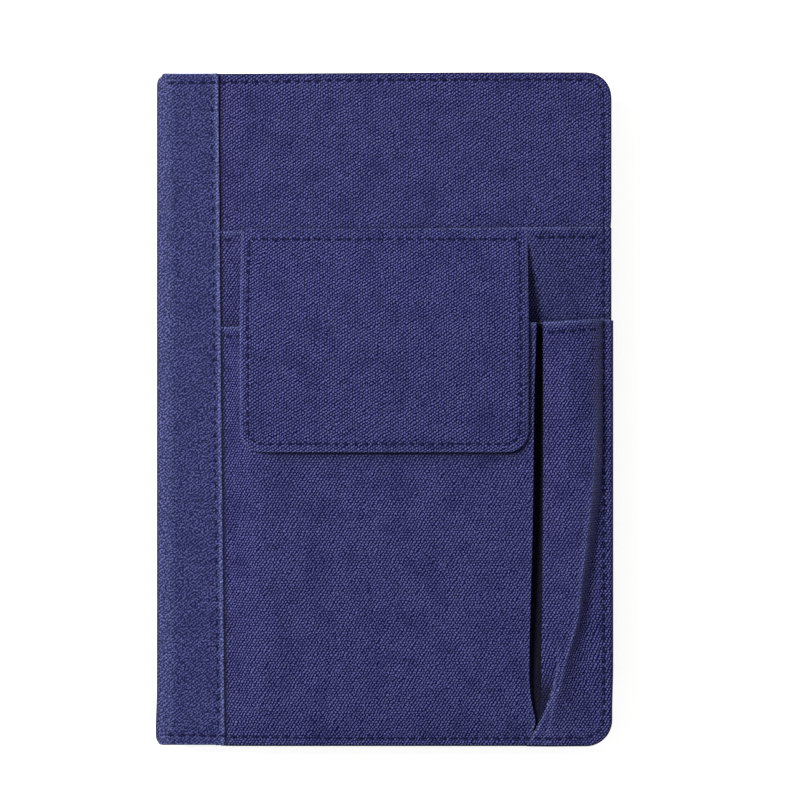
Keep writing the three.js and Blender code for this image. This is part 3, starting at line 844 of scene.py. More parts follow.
def make_slip_pocket():
    """A flat cloth panel sewn in at the fore edge and tail, with its mouth hemmed and a little slack."""
    near = np.array(edge_lines(10, BEND_X, 1))
    spans = ((0, 0.5, 24), (0.5, 0.78, 12), (0.78, 0.9, 20), (0.9, 0.965, 5))
    shares = [np.linspace(*span, endpoint=False) for span in spans]
    shares = np.concatenate(shares + [np.linspace(0.965, 1.0, 9)])
    low = np.array([BEND_TAIL + k for k in INSETS] + [BEND_TAIL + BEND_CORNER])
    rows_x, rows_y = [], []
    for y in low:
        x = np.concatenate([beside_columns(y, -3, 10), near])
        rows_x.append(x)
        rows_y.append(np.full(len(x), y))
    for share in shares[1:]:
        start = low[-1]
        x = np.concatenate([beside_columns(start + share * 158, -3, 10), near])
        rows_x.append(x)
        rows_y.append(start + share * (slip_mouth(x) - start))
    x, y = round_corner(np.array(rows_x), np.array(rows_y), BEND_X, BEND_TAIL, OPEN_END, BEND_CORNER)
    inset = np.minimum(edge_distance(x, np.minimum(y, 0)), BEND_X - x)
    below = slip_mouth(x) - y
    lift = 0.32 + 0.38 * smooth((inset - 1) / 4) * smooth((x - band_edge(y)) / 5)
    gape = 0.9 * near_to(below, 10) * smooth((BEND_X - x) / 14) * smooth((x - band_edge(y)) / 14)
    z = FACE + lift + gape + seam_dip(inset - SEAM + EDGE) + seam_dip(below - HEM, 0.16, 0.7)
    points, flat = stack(x, y, z), pair(x, y)
    surface = Surface()
    # Painted shade above the lower pockets' mouths, between the flap and the fore edge, and beside the band.
    above = np.maximum(y - lower_mouth(x), 0)
    painted_shade = (0.45 * np.exp(-above / 0.7) + 0.4 * np.exp(-above / 3)) * (y > lower_mouth(x) - 1)
    painted_shade = np.maximum(painted_shade, 0.13 * smooth((x - 44) / 4))
    painted_shade = np.maximum(painted_shade, beside_band(x, y))
    index = surface.grid(points, flat, mouth_wear(below) - painted_shade)
    edge, around, laid = boundary(index, points, flat, ("fore", "tail"))
    normals = outward(around[:, 0], around[:, 1], BEND_X, BEND_TAIL, OPEN_END, BEND_CORNER)
    wrap(surface, edge, around, laid, normals, EDGE + 0.2, COVER_THICK - 2 * EDGE, None)
    hem(surface, index[-1], points[-1], flat[-1], HEADWARD, UPWARD, 0.34, 5.0)
    piece = dress(surface.piece("slip_pocket_cloth", (0, 0, 1), POCKET_CLOTH, True), canvas, "canvas",
                  "front_cover", "slip_pocket_panel")
    return piece


# ---------------------------------------------------------------- phone pocket and pen pocket

LOWER_BASE = FACE + 1.05  # the lower panel where it lies flat
GUSSET = 11  # grid columns of the phone pocket's gusset, the last ones

# Lines down the pockets, each (y, x): the phone pocket's fold, the pen pocket's left side, its ridge,
# and the edge of the pleat that its spare cloth makes at the tail.
PHONE_FOLD = curve([(-108, 46.6), (-104.5, 47.2), (-99.5, 48.3), (-95, 47.4), (-90, 46.7), (-80, 46.5),
                    (-62, 46.9), (-29, 47.6), (3, 47.9), (28, 48.6)])
PEN_SIDE = curve([(-108, 46.8), (-104, 47.9), (-99.5, 49.2), (-92, 49.9), (-77, 49.9), (-61, 50.0),
                  (-7, 50.1), (28, 49.9)])
PEN_RIDGE = curve([(-108, 52.2), (-104, 52.6), (-93.8, 54.0), (-87, 56.1), (-80.3, 57.5), (-70.8, 60.4),
                   (-62.8, 61.9), (-54.8, 62.6), (-43.6, 64.0), (-26, 65.8), (-8, 66.7), (28, 66.4)])
PLEAT_EDGE = curve([(-108, 44.8), (-104, 47.3), (-99.8, 49.6), (-95.6, 51.5), (-92.1, 52.7), (-85.8, 54.3),
                    (-80, 56.2), (-70, 59.6), (-60, 61.4)])
# Heights over the flat panel, each (y, height).
PHONE_CROWN = curve([(-108, 0.0), (-104, 0.3), (-99, 1.6), (-85, 3.2), (-60, 4.2), (-20, 5.2), (10, 5.8),
                     (28, 6.0)])
PEN_LEFT_RISE = curve([(-108, 0.05), (-103, 0.1), (-97, 0.3), (-90, 0.9), (-80, 2.4), (-66, 3.8), (-40, 4.9),
                       (0, 6.2), (28, 6.8)])
PEN_RIDGE_RISE = curve([(-108, 0.5), (-104, 0.9), (-97, 2.2), (-88, 3.7), (-70, 5.2), (-40, 6.4), (0, 6.6),
                        (28, 5.8)])


def section(corners_at, ys, counts):
    """Rows of x and z through corner lines (x, z, radius), straight between them and rounded at them."""
    xs = [np.broadcast_to(c[0], ys.shape).astype(float) for c in corners_at]
    zs = [np.broadcast_to(c[1], ys.shape).astype(float) for c in corners_at]
    rs = [np.broadcast_to(c[2], ys.shape).astype(float) for c in corners_at]
    out_x, out_z = [xs[0]], [zs[0]]
    last = len(corners_at) - 1
    cursor_x, cursor_z = xs[0], zs[0]
    for k in range(1, last + 1):
        if k < last:
            before = np.hypot(xs[k] - xs[k - 1], zs[k] - zs[k - 1]) + 1e-6
            after = np.hypot(xs[k + 1] - xs[k], zs[k + 1] - zs[k]) + 1e-6
            r = np.minimum(rs[k], 0.48 * np.minimum(before, after))
            in_x = xs[k] + (xs[k - 1] - xs[k]) / before * r
            in_z = zs[k] + (zs[k - 1] - zs[k]) / before * r
            next_x = xs[k] + (xs[k + 1] - xs[k]) / after * r
            next_z = zs[k] + (zs[k + 1] - zs[k]) / after * r
        else:
            in_x, in_z = xs[k], zs[k]
        steps = counts[k - 1]
        for s in range(1, steps + 1):
            t = s / steps
            out_x.append(cursor_x + (in_x - cursor_x) * t)
            out_z.append(cursor_z + (in_z - cursor_z) * t)
        if k < last:
            for t in (0.25, 0.5, 0.75, 1.0):
                out_x.append((1 - t) ** 2 * in_x + 2 * t * (1 - t) * xs[k] + t * t * next_x)
                out_z.append((1 - t) ** 2 * in_z + 2 * t * (1 - t) * zs[k] + t * t * next_z)
            cursor_x, cursor_z = next_x, next_z
    return np.array(out_x).T, np.array(out_z).T


def arc_places(x, z):
    """Flat cloth coordinate across each row: distance along the cloth."""
    steps = np.hypot(np.diff(x, axis=1), np.diff(z, axis=1))
    return np.concatenate([np.zeros((len(x), 1)), np.cumsum(steps, axis=1)], axis=1)


LOWER_ROWS = lines((BEND_TAIL, 0.6), (BEND_TAIL + 3.6, 1.2), (-92, 1.5), (-60, 2.0), (-20, 0.6), (-13, 1.8),
                   (10, 1.5), (22, 0.6), (28, 1))


def mouth_rows(nominal, x, top=28.0):
    """Moves nominal rows, which end at top, so that the last lies on the lower panel's sloping mouth."""
    share = (nominal[:, None] - BEND_TAIL) / (top - BEND_TAIL)
    return BEND_TAIL + share * (lower_mouth(x) - BEND_TAIL)


def panel_normals(points):
    du = np.gradient(points, axis=1)
    dv = np.gradient(points, axis=0)
    n = np.cross(du, dv)
    return n / np.maximum(np.linalg.norm(n, axis=-1, keepdims=True), 1e-9)


def flap_edge_shadow(x, y):
    """Painted shadow on the cloth close below the flap's edge, from its left corner on."""
    gap = FLAP_Y0 - y
    across = smooth((x - FLAP_X0 - 5) / 8) * smooth((FLAP_X1 - 1 - x) / 3)
    return 0.9 * np.exp(-np.maximum(gap, 0) / 1.5) * (gap > -3) * across


def make_phone_pocket():
    """The phone pocket: flat under the band, swelling to a flat top, with a folded gusset at the valley."""
    ys = LOWER_ROWS
    left = band_edge(ys)
    crown = LOWER_BASE + PHONE_CROWN(ys)
    fold_x = PHONE_FOLD(ys)
    swell = smooth((ys - BEND_TAIL) / 30)
    x, z = section([
        (left - 1.3, FACE + 0.45, 0),
        (left - 0.2, FACE + 0.6, 0.2),
        (left + 2.2, LOWER_BASE - 0.1, 0.6),
        (left + 10.5, crown, 6),
        (fold_x, crown - 0.25 * swell, 0.3 + 0.6 * swell),
        (fold_x - 1.8 * swell, LOWER_BASE - 0.1, 0.3),
        (fold_x + 2.2, LOWER_BASE - 0.15, 0),
    ], ys, (1, 6, 6, 52, 5, 2))
    y = mouth_rows(ys, x)
    below = lower_mouth(x) - y
    top = smooth((x - left[:, None] - 4) / 12) * smooth((fold_x[:, None] - x - 1) / 5)
    z = z + top * (0.22 * unevenness(x, y, 3) + 0.3 * np.sin((x - 10) / 70)) * swell[:, None]
    z = z + seam_dip(below - HEM, 0.16, 0.7) * top + seam_dip(y - TAIL - SEAM, 0.2) * (z > LOWER_BASE - 0.1)
    points = stack(x, y, z)
    flat = pair(arc_places(x, z) + 400, y)
    wear_and_shade = 0.5 * near_to(x - fold_x[:, None], 0.9) * (z > crown[:, None] - 1.2)
    # Painted shade beside the band, painted shadow under the flap's edge, and deep painted shade on the
    # gusset's columns.
    wear_and_shade = wear_and_shade + mouth_wear(below) - beside_band(x, y) - flap_edge_shadow(x, y)
    wear_and_shade = np.where(np.arange(x.shape[1]) > x.shape[1] - GUSSET, -swell[:, None] ** 0.3, wear_and_shade)
    surface = Surface()
    index = surface.grid(points, flat, wear_and_shade)
    normals = panel_normals(points)
    sewn = slice(0, points.shape[1] - GUSSET)
    wrap(surface, index[0, sewn], points[0, sewn], flat[0, sewn], (0.0, -1.0), EDGE + 0.35,
         COVER_THICK - 2 * EDGE, None)
    hem(surface, index[-1], points[-1], flat[-1], HEADWARD, normals[-1], 0.36, 7.0)
    piece = dress(surface.piece("phone_pocket_cloth", (0, 0, 1), POCKET_CLOTH, True), canvas, "canvas",
                  "front_cover", "phone_pocket_panel")
    return piece


def pen_section(ys, side, ridge, pleat, lip, foot_x):
    """The pen pocket's rows of x and z: its left side, the pleat, the ridge and the flat by the fore edge."""
    open_share = smooth((ys + 95) / 120)  # 0 flat at the tail, 1 round at the mouth
    left_top = LOWER_BASE + PEN_LEFT_RISE(ys)
    ridge_top = LOWER_BASE + PEN_RIDGE_RISE(ys)
    along = np.clip((lip - side) / np.maximum(ridge - side, 0.5), 0, 1)
    facet = left_top + (ridge_top - left_top) * along
    lip_top = facet * (1 - pleat) + (ridge_top - 0.5) * pleat
    lip_foot = facet * (1 - pleat) + np.minimum(facet, np.maximum(ridge_top - 2.2, LOWER_BASE)) * pleat
    bulge = 1.5 * open_share**2 * (1 - pleat)
    round_ridge = 0.25 + 4.0 * smooth((ys + 35) / 60)
    inner = np.minimum(side - 2.6, lip - 0.2)
    return section([
        (inner, LOWER_BASE - 0.05, 0),
        (np.minimum(side + 1.6 * (1 - pleat), lip - 0.1), LOWER_BASE, 0.3),
        (np.minimum(side, lip - 0.05), left_top, 0.4 + 1.2 * open_share),
        (lip - 0.12 + 0.5 * pleat, lip_foot + bulge, 0.2 + 5 * open_share),
        (lip, lip_top + bulge, 0.15 + 5 * open_share),
        (ridge, ridge_top, round_ridge),
        (foot_x, LOWER_BASE + 0.1, 2.0 + 5.0 * (1 - open_share)),
        (np.full(len(ys), BEND_X - 2.4), LOWER_BASE - 0.1, 0.5),
        (BEND_X + 0.3 * smooth((ys + 97) / 15), LOWER_BASE - 0.15, 0),
    ], ys, (1, 3, 10, 1, 3, 6, 5, 3))


def pen_wear_and_shade(x, y, below, ridge, lip, pleat):
    """Rubbed on the ridge, the pleat's edge and the mouth; painted shade beside the pleat and inside the left
    side.
    """
    crisp = 1 - smooth((LOWER_ROWS + 20) / 40)
    wear_and_shade = 0.6 * near_to(x - ridge[:, None], 0.5) * crisp[:, None]
    wear_and_shade = wear_and_shade + near_to(x - lip[:, None] - 0.25, 0.45) * pleat[:, None]
    wear_and_shade = np.minimum(wear_and_shade + mouth_wear(below), 1)
    pleat_shade = pleat[:, None] * smooth((-82 - y) / 10) * (x < lip[:, None] - 0.05)
    wear_and_shade = wear_and_shade - 0.8 * pleat_shade
    # The columns inside the left side, down in the valley, are painted in full shade.
    return np.where(np.arange(x.shape[1]) < 8, -1, wear_and_shade)


def make_pen_pocket():
    """The pen pocket: a tube at its mouth that flattens towards the tail, its spare cloth laid in a pleat."""
    ys = LOWER_ROWS
    side, ridge = PEN_SIDE(ys), PEN_RIDGE(ys)
    pleat = 1 - smooth((ys + 88) / 16)  # how much the pleat stands apart from the ridge
    lip = PLEAT_EDGE(ys) * pleat + (side + (ridge - side) * 0.5) * (1 - pleat)
    foot_x = 69.9 - 8.5 * (1 - smooth((ys + 100) / 90))
    foot_x = np.maximum(foot_x, ridge + 2.0)
    x, z = pen_section(ys, side, ridge, pleat, lip, foot_x)
    y = mouth_rows(ys, x)
    x, y = round_corner(x, y, BEND_X, BEND_TAIL, OPEN_END, BEND_CORNER)
    below = lower_mouth(x) - y
    inset = np.minimum(edge_distance(x, np.minimum(y, 0)), BEND_X - x)
    flange = smooth((x - foot_x[:, None]) / 2)
    z = z + seam_dip(inset - SEAM + EDGE, 0.25) * flange + seam_dip(below - HEM, 0.14, 0.7)
    on_face = smooth((ridge[:, None] - x) / 4) * smooth((x - side[:, None]) / 4)
    z = z + 0.16 * unevenness(x * 2, y * 1.5, 8) * on_face
    points = stack(x, y, z)
    flat = pair(arc_places(x, z) + 600, y)
    surface = Surface()
    index = surface.grid(points, flat, pen_wear_and_shade(x, y, below, ridge, lip, pleat))
    normals = panel_normals(points)
    edge, around, laid = boundary(index, points, flat, ("fore", "tail"))
    directions = outward(around[:, 0], around[:, 1], BEND_X, BEND_TAIL, OPEN_END, BEND_CORNER)
    sewn = slice(0, len(edge) - 29)
    wrap(surface, edge[sewn], around[sewn], laid[sewn], (directions[0][sewn], directions[1][sewn]),
         EDGE + 0.45, COVER_THICK - 2 * EDGE, None)
    hem(surface, index[-1], points[-1], flat[-1], HEADWARD, normals[-1], 0.5, 7.0)
    piece = dress(surface.piece("pen_pocket_cloth", (0, 0, 1), POCKET_CLOTH, True), canvas, "canvas",
                  "front_cover", "pen_pocket_panel")
    return piece


# ---------------------------------------------------------------- flap

FLAP_X0, FLAP_X1 = flap_low[0], flap_high[0]
FLAP_Y0, FLAP_Y1 = flap_low[1], SLIP_MOUTH + 0.6
FLAP_EDGE = 0.95
FLAP_CORNER = 6.8
FLAP_FOLD = (0, 55.4 * MM, 0.022), (0, 51.5 * MM, 0.022)  # where the flap's cloth starts and ends bending
FLAP_TOP = curve([(-15, 29.4), (0, 29.9), (14, 30.3), (24, 30.4), (31, 29.7), (40, 27.2), (48, 24.5),
                  (53, 22.9), (57, 22.1)])
FLAP_THICK = curve([(-15, 2.1), (20, 2.1), (40, 1.9), (48, 1.5), (53, 0.75), (57, 0.6)])


def flap_corner(x, y, x0, x1, y0, radius):
    """Rounds both tail corners of the flap's grid, as round_corner does at one side."""
    turned_x, turned_y = round_corner(x, y, x1, y0, OPEN_END, radius)
    mirrored_x, mirrored_y = round_corner(x0 + x1 - turned_x, turned_y, x1, y0, OPEN_END, radius)
    return x0 + x1 - mirrored_x, mirrored_y


def flap_height(x, y):
    half = (FLAP_X1 - FLAP_X0) / 2
    across = np.abs(x - (FLAP_X0 + FLAP_X1) / 2) / half
    return FLAP_TOP(y) - 0.5 * across**3 * smooth((50 - y) / 20) + 0.12 * unevenness(x, y, 11)


def make_flap():
    """Face cloth over a stiffener, and a lining sewn to it underneath."""
    face = flap_face_cloth()
    under = flap_lining_cloth()
    make_stiffener()
    for piece in (face, under):
        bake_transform(piece)
    return face


def flap_face_cloth():
    """The flap's face, its edge turned in round three sides and hemmed at the fourth."""
    radius = FLAP_CORNER - FLAP_EDGE
    x0, x1, y0 = FLAP_X0 + FLAP_EDGE, FLAP_X1 - FLAP_EDGE, FLAP_Y0 + FLAP_EDGE
    insets = np.array([0, 0.6, 1.2, 1.85, 2.5, 3.2, 4.2, 5.0, radius])
    between = lines((x0 + radius, 2.0), (x1 - radius, 1))[1:-1]
    xs = np.concatenate([x0 + insets, between, x1 - insets[::-1]])
    ys = np.concatenate([y0 + insets, lines((y0 + radius, 1.8), (48, 0.8), (FLAP_Y1, 1))[1:]])
    grid_x, grid_y = np.meshgrid(xs, ys)
    x, y = flap_corner(grid_x, grid_y, x0, x1, y0, radius)
    side = np.minimum(np.minimum(grid_x - x0, x1 - grid_x), grid_y - y0)
    z = flap_height(x, y) + seam_dip(side - HEM + FLAP_EDGE, 0.2, 0.6)
    z = z + seam_dip(FLAP_Y1 - grid_y - HEM - 0.4, 0.14, 0.6) - 0.25 * np.exp(-side / 0.8)
    points, flat = stack(x, y, z), pair(x + 800, y)
    surface = Surface()
    index = surface.grid(points, flat, 0.1 * near_to(side, 0.4))
    picks = [np.s_[::-1, 0], np.s_[0, 1:-1], np.s_[:, -1]]
    take = lambda a: np.concatenate([a[p] for p in picks])
    edge, around, laid = take(index), take(points), take(flat)
    core_x = np.clip(around[:, 0], x0 + radius, x1 - radius)
    core_y = np.maximum(around[:, 1], y0 + radius)
    dx, dy = around[:, 0] - core_x, around[:, 1] - core_y
    length = np.maximum(np.hypot(dx, dy), 1e-9)
    ws = fold_lines(FLAP_EDGE, 0, 4.0)
    out, down = fold(ws, FLAP_EDGE, 0)
    squeeze = FLAP_THICK(around[:, 1]) / (2 * FLAP_EDGE)
    rows, flats = [], []
    for w, o, d in zip(ws, out, down):
        o = max(o, -radius + 0.4)
        rows.append(stack(around[:, 0] + dx / length * o, around[:, 1] + dy / length * o,
                          around[:, 2] - d * squeeze))
        flats.append(laid + np.stack([dx / length * w, dy / length * w], axis=-1))
    # Rubbed at the fold; the turn-in under the flap is painted in shade.
    wear_and_shade = near_to(ws - 0.7, 0.38) - 0.4 * (ws > 1.4)
    surface.strip(edge, np.array(rows), np.array(flats), wear_and_shade[:, None])
    hem(surface, index[-1], points[-1], flat[-1], HEADWARD, UPWARD, 0.3, 2.0)
    return dress(surface.piece("flap_face", (0, 0, 1), 0.35), canvas, "canvas", None, "flap_face_cloth")


def flap_lining_cloth():
    lining = Surface()
    inner_x = np.linspace(FLAP_X0 + 2.2, FLAP_X1 - 2.2, 40)
    inner_y = lines((FLAP_Y0 + 2.2, 2.0), (48, 0.8), (FLAP_Y1 - 1, 1))
    grid_x, grid_y = np.meshgrid(inner_x, inner_y)
    x, y = flap_corner(grid_x, grid_y, inner_x[0], inner_x[-1], inner_y[0], 5.0)
    z = flap_height(x, y) - FLAP_THICK(y) - 0.12
    lining.grid(stack(x, y, z), pair(x + 1000, y))
    return dress(lining.piece("flap_lining_cloth", (0, 0, -1), 0.25), lining_cloth, "lining_cloth", None,
                 "flap_lining")


def make_stiffener():
    """The thin board between the flap's cloths, curved as they are."""
    xs = np.linspace(FLAP_X0 + 4, FLAP_X1 - 4, 36)
    ys = np.linspace(FLAP_Y0 + 4, 47, 32)
    grid_x, grid_y = np.meshgrid(xs, ys)
    x, y = flap_corner(grid_x, grid_y, xs[0], xs[-1], ys[0], 4.0)
    board = Surface()
    board.grid(stack(x, y, flap_height(x, y) - 0.42), pair(x, y))
    dress(board.piece("flap_stiffener_board", (0, 0, 1), 0.9), board_look, "board", "pocket_flap",
          "flap_stiffener")


# ---------------------------------------------------------------- stitches


def path_along(points, pitch):
    """Even steps of about pitch along a line through points, as pairs of ends."""
    points = np.array(points, float)
    steps = np.hypot(*np.diff(points, axis=0).T)
    places = np.concatenate([[0], np.cumsum(steps)])
    count = max(1, int(round(places[-1] / pitch)))
    marks = np.linspace(0, places[-1], count + 1)
    along = list(zip(np.interp(marks, places, points[:, 0]), np.interp(marks, places, points[:, 1])))
    return list(zip(along, along[1:]))


def arc_points(cx, cy, radius, start, end, steps=8):
    angles = [math.radians(start + (end - start) * k / steps) for k in range(steps + 1)]
    return [(cx + radius * math.cos(angle), cy + radius * math.sin(angle)) for angle in angles]


def cloth_under(pieces):
    """A function that gives the height of the uppermost, or lowest, of these pieces at a place."""
    trees = []
    graph = bpy.context.evaluated_depsgraph_get()
    for piece in pieces:
        trees.append(BVHTree.FromObject(piece, graph))

    def height(x, y, way=1):
        best = None
        for tree in trees:
            hit, _, _, _ = tree.ray_cast(Vector((x * MM, y * MM, way * 0.2)), Vector((0, 0, -way)))
            if hit is not None and (best is None or way * hit.z > way * best):
                best = hit.z
        return None if best is None else best / MM

    return height


STITCH = 3.35  # pitch of most rows
AROUND = [2 * math.pi * k / 8 for k in range(8)]  # corners of a ring round a thread or a needle hole
THREAD_RINGS = 7
THREAD_TAPER = 0.94  # how much a thread thins towards its ends
THREAD_HALF = 0.2  # half of its height
THREAD_SINK = 0.1  # how far the cloth takes it in
HOLE_HALF = 0.26  # half of a hole's length along the row
HOLE_RINGS = ((0.03, 1.0), (0.05, 0.7), (-0.12, 0.9))  # height over the cloth, share of the hole's size
THREAD, HOLE = 0, 1  # a stitch piece's two materials


class Stitches:
    """The mesh of a row of stitches, a ring of corners at a time."""

    def __init__(self):
        self.points, self.flat, self.faces, self.looks = [], [], [], []

    def ring(self, points, flat):
        self.points += points
        self.flat += flat
        return range(len(self.points) - len(AROUND), len(self.points))

    def tube(self, a, b, look):
        for k in range(len(AROUND)):
            j = (k + 1) % len(AROUND)
            self.faces.append((a[k], a[j], b[j], b[k]))
            self.looks.append(look)

    def cap(self, ring, look):
        self.faces.append(tuple(ring))
        self.looks.append(look)

    def thread(self, number, centre, along, half, levels, way, width, rise):
        (cx, cy), (tx, ty), (za, zb) = centre, along, levels
        rings = []
        for s in np.linspace(-1, 1, THREAD_RINGS).tolist():
            full = math.sqrt(max(0.0, 1 - s * s * THREAD_TAPER))
            px, py = cx + tx * half * s, cy + ty * half * s
            level = za + (zb - za) * (s + 1) / 2 + way * (rise * full - THREAD_SINK)
            offs = [width / 2 * full * math.cos(angle) for angle in AROUND]
            ups = [THREAD_HALF * full * math.sin(angle) for angle in AROUND]
            points = [(px - ty * off, py + tx * off, level + up) for off, up in zip(offs, ups)]
            flat = [(s * half + number, off + angle * 0.2) for off, angle in zip(offs, AROUND)]
            rings.append(self.ring(points, flat))
        for a, b in zip(rings, rings[1:]):
            self.tube(a, b, THREAD)
        self.cap(reversed(rings[0]), THREAD)
        self.cap(rings[-1], THREAD)

    def hole(self, x, y, along, level, way, width):
        tx, ty = along
        rings = []
        for height, scale in HOLE_RINGS:
            flat = [(HOLE_HALF * scale * math.cos(a), width * 0.55 * scale * math.sin(a)) for a in AROUND]
            points = [(x + tx * u - ty * v, y + ty * u + tx * v, level + way * height) for u, v in flat]
            rings.append(self.ring(points, flat))
        outer, lip, foot = rings
        self.tube(outer, lip, HOLE)
        self.tube(foot, outer, HOLE)
        self.cap(lip, HOLE)
        self.cap(reversed(foot), HOLE)


def stitch_row(name, ends, height, body, replaced=(), way=1, width=1.0, share=0.5, rise=0.16, blend=None):
    """One thread lying on the cloth between two needle holes, for each pair of ends."""
    row = Stitches()
    for number, ((ax, ay), (bx, by)) in enumerate(ends):
        wobble = 0.04 * math.sin(number * 2.3)
        length = math.hypot(bx - ax, by - ay)
        tx, ty = (bx - ax) / length, (by - ay) / length
        cx, cy = (ax + bx) / 2 - ty * wobble, (ay + by) / 2 + tx * wobble
        half = length * share / 2
        spots = [(cx + tx * half * end, cy + ty * half * end) for end in (-1, 1)]
        levels = [height(x, y, way) for x, y in spots]
        if None in levels:
            continue
        row.thread(number, (cx, cy), (tx, ty), half, levels, way, width, rise)
        for (x, y), level in zip(spots, levels):
            row.hole(x, y, (tx, ty), level, way, width)
    piece = new_piece(name, np.array(row.points), row.faces, np.array(row.flat))
    dress(piece, thread_look, "thread")
    piece.data.materials.append(hole_shade_look)
    for polygon, look in zip(piece.data.polygons, row.looks):
        polygon.material_index = look
    if replaced:
        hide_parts(*replaced)
    if blend:
        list(blend[:2])
        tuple(blend[2])
        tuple(blend[3])
        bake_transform(piece)
    else:
        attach(piece, body)


def edge_route(start_x):
    """The edge seam's line: along the head, round the fore edge and back along the tail."""
    x, y, r = RIGHT - SEAM, HEAD - SEAM, CORNER - SEAM
    along = np.linspace(start_x, x - r - 1, 20)
    head = [(place, settle(place, HEAD - seam_inset(place))) for place in along]
    tail = [(place, TAIL + seam_inset(place)) for place in along[::-1]]
    return head + arc_points(x - r, y - r, r, 90, 0) + arc_points(x - r, r - y, r, 0, -90) + tail


def mouth_row(mouth, start, end, pitch):
    """Stitches a hem's width below a pocket's mouth."""
    return path_along([(x, mouth(x) - HEM) for x in np.linspace(start, end, 12)], pitch)


def make_stitches(front, back, band_front, band_back, slip, phone, pen, flap):
    on_front = cloth_under([front, band_front, slip, phone, pen])
    on_back = cloth_under([back, band_back])
    edge = path_along(edge_route(LEFT + 2.8), STITCH)
    stitch_row("front_edge_stitches", edge, on_front, "front_cover", ("front_edge_thread",))
    stitch_row("back_edge_stitches", edge, on_back, "back_cover", way=-1, rise=0.0)
    inset = BAND_SEAM + 0.3
    seam = path_along([(band_edge(HEAD) - inset, HEAD - 6), (band_edge(TAIL) - inset, TAIL + 5)], 4.0)
    stitch_row("front_band_stitches", seam, on_front, "front_cover", ("front_band_thread",), share=0.3,
               width=0.7)
    stitch_row("back_band_stitches", seam, on_back, "back_cover", way=-1, rise=0.0, share=0.3, width=0.7)

    slip_row = mouth_row(slip_mouth, band_edge(50) + 1, RIGHT - SEAM - 2, STITCH)
    beside_flap = [e for e in slip_row if e[0][0] > FLAP_X1 + 0.5 or e[1][0] < FLAP_X0 - 0.5]
    stitch_row("slip_pocket_stitches", beside_flap, on_front, "front_cover", ("slip_pocket_thread",))
    phone_row = mouth_row(lower_mouth, band_edge(23) + 1, PHONE_FOLD(23) - 2, STITCH)
    stitch_row("phone_pocket_stitches", phone_row, on_front, "front_cover", ("phone_pocket_thread",))
    pen_row = mouth_row(lower_mouth, PEN_SIDE(23) + 1.5, RIGHT - SEAM - 2.5, 3.1)
    stitch_row("pen_pocket_stitches", pen_row, on_front, "front_cover", ("pen_pocket_thread",))

    r = FLAP_CORNER - HEM
    x0, x1, y0, y1 = FLAP_X0 + HEM, FLAP_X1 - HEM, FLAP_Y0 + HEM, FLAP_Y1 - HEM - 0.4
    left, right = arc_points(x0 + r, y0 + r, r, 180, 270), arc_points(x1 - r, y0 + r, r, 270, 360)
    route = [(x0, y1), (x0, y0 + r)] + left + right + [(x1, y1)]
    ends = path_along(route, 3.0) + path_along([(x0, y1), (x1, y1)], STITCH)
    stitch_row("flap_stitches", ends, cloth_under([flap]), "pocket_flap", ("flap_thread",),
               blend=("front_cover", "pocket_flap", *FLAP_FOLD))


# ---------------------------------------------------------------- text block


LEAF_CORNER = 6.0
LEAF_BEND = 11  # how far from the gutter the leaves' end point is set


def make_leaf(node, material, slot, start, end):
    """A flat leaf with rounded fore-edge corners, in the place of its CAD piece."""
    low, high = corners(node)
    radius = LEAF_CORNER
    xs = lines((low[0], 0.7), (low[0] + 12, 3.0), (high[0] - radius, 1.2), (high[0], 1))
    ys = lines((low[1], 1.2), (low[1] + radius, 3.5), (high[1] - radius, 1.2), (high[1], 1))
    grid_x, grid_y = np.meshgrid(xs, ys)
    x, y = round_corner(grid_x, grid_y, high[0], low[1], high[1], radius)
    surface = Surface()
    surface.grid(stack(x, y, high[2]), pair(x, y))
    piece = dress(surface.piece(node + "_sheet", (0, 0, 1), high[2] - low[2]), material, slot, None, node)
    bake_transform(piece)
    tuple(start)
    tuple(end)


def make_signature(number):
    """A sewn section: rounded at its folded back, its sheets' edges a little uneven at the fore edge."""
    node = f"signature_{number}"
    low, high = corners(node)
    half = (high[2] - low[2]) / 2 - 0.02
    middle = (high[2] + low[2]) / 2
    radius = LEAF_CORNER
    ys = lines((low[1], 1.2), (low[1] + radius, 4.0), (high[1] - radius, 1.2), (high[1], 1))
    xs = np.concatenate([[low[0] + half * (1 - math.cos(math.pi / 2 * k / 4)) for k in range(1, 5)],
                         lines((low[0] + 3, 4.0), (high[0] - radius, 1.2), (high[0], 1))])
    grid_x, grid_y = np.meshgrid(xs, ys)
    x, y = round_corner(grid_x, grid_y, high[0], low[1], high[1], radius)
    shift = 0.12 * math.sin(number * 2.1)
    x = x + shift * smooth((x - 40) / 20)
    back = np.clip((grid_x - low[0]) / half, 0, 1)
    rise = half * np.sqrt(1 - (1 - back) ** 2)
    surface = Surface()
    flat = pair(x, y)
    top = surface.grid(stack(x, y, middle + rise), flat)
    bottom = surface.grid(stack(x, y, middle - rise), flat)
    loop = lambda a: np.concatenate([a[0, :], a[1:, -1], a[-1, -2::-1], a[-2:0:-1, 0]])
    upper, lower = loop(top), loop(bottom)
    for a, b in zip(range(len(upper)), np.roll(np.arange(len(upper)), -1)):
        surface.faces.append((int(upper[a]), int(upper[b]), int(lower[b]), int(lower[a])))
    piece = surface.piece(node + "_sheets", (0, 0, 1))
    sharp_edges(piece, 40)
    dress(piece, page_look, "paper", "text_block", node)


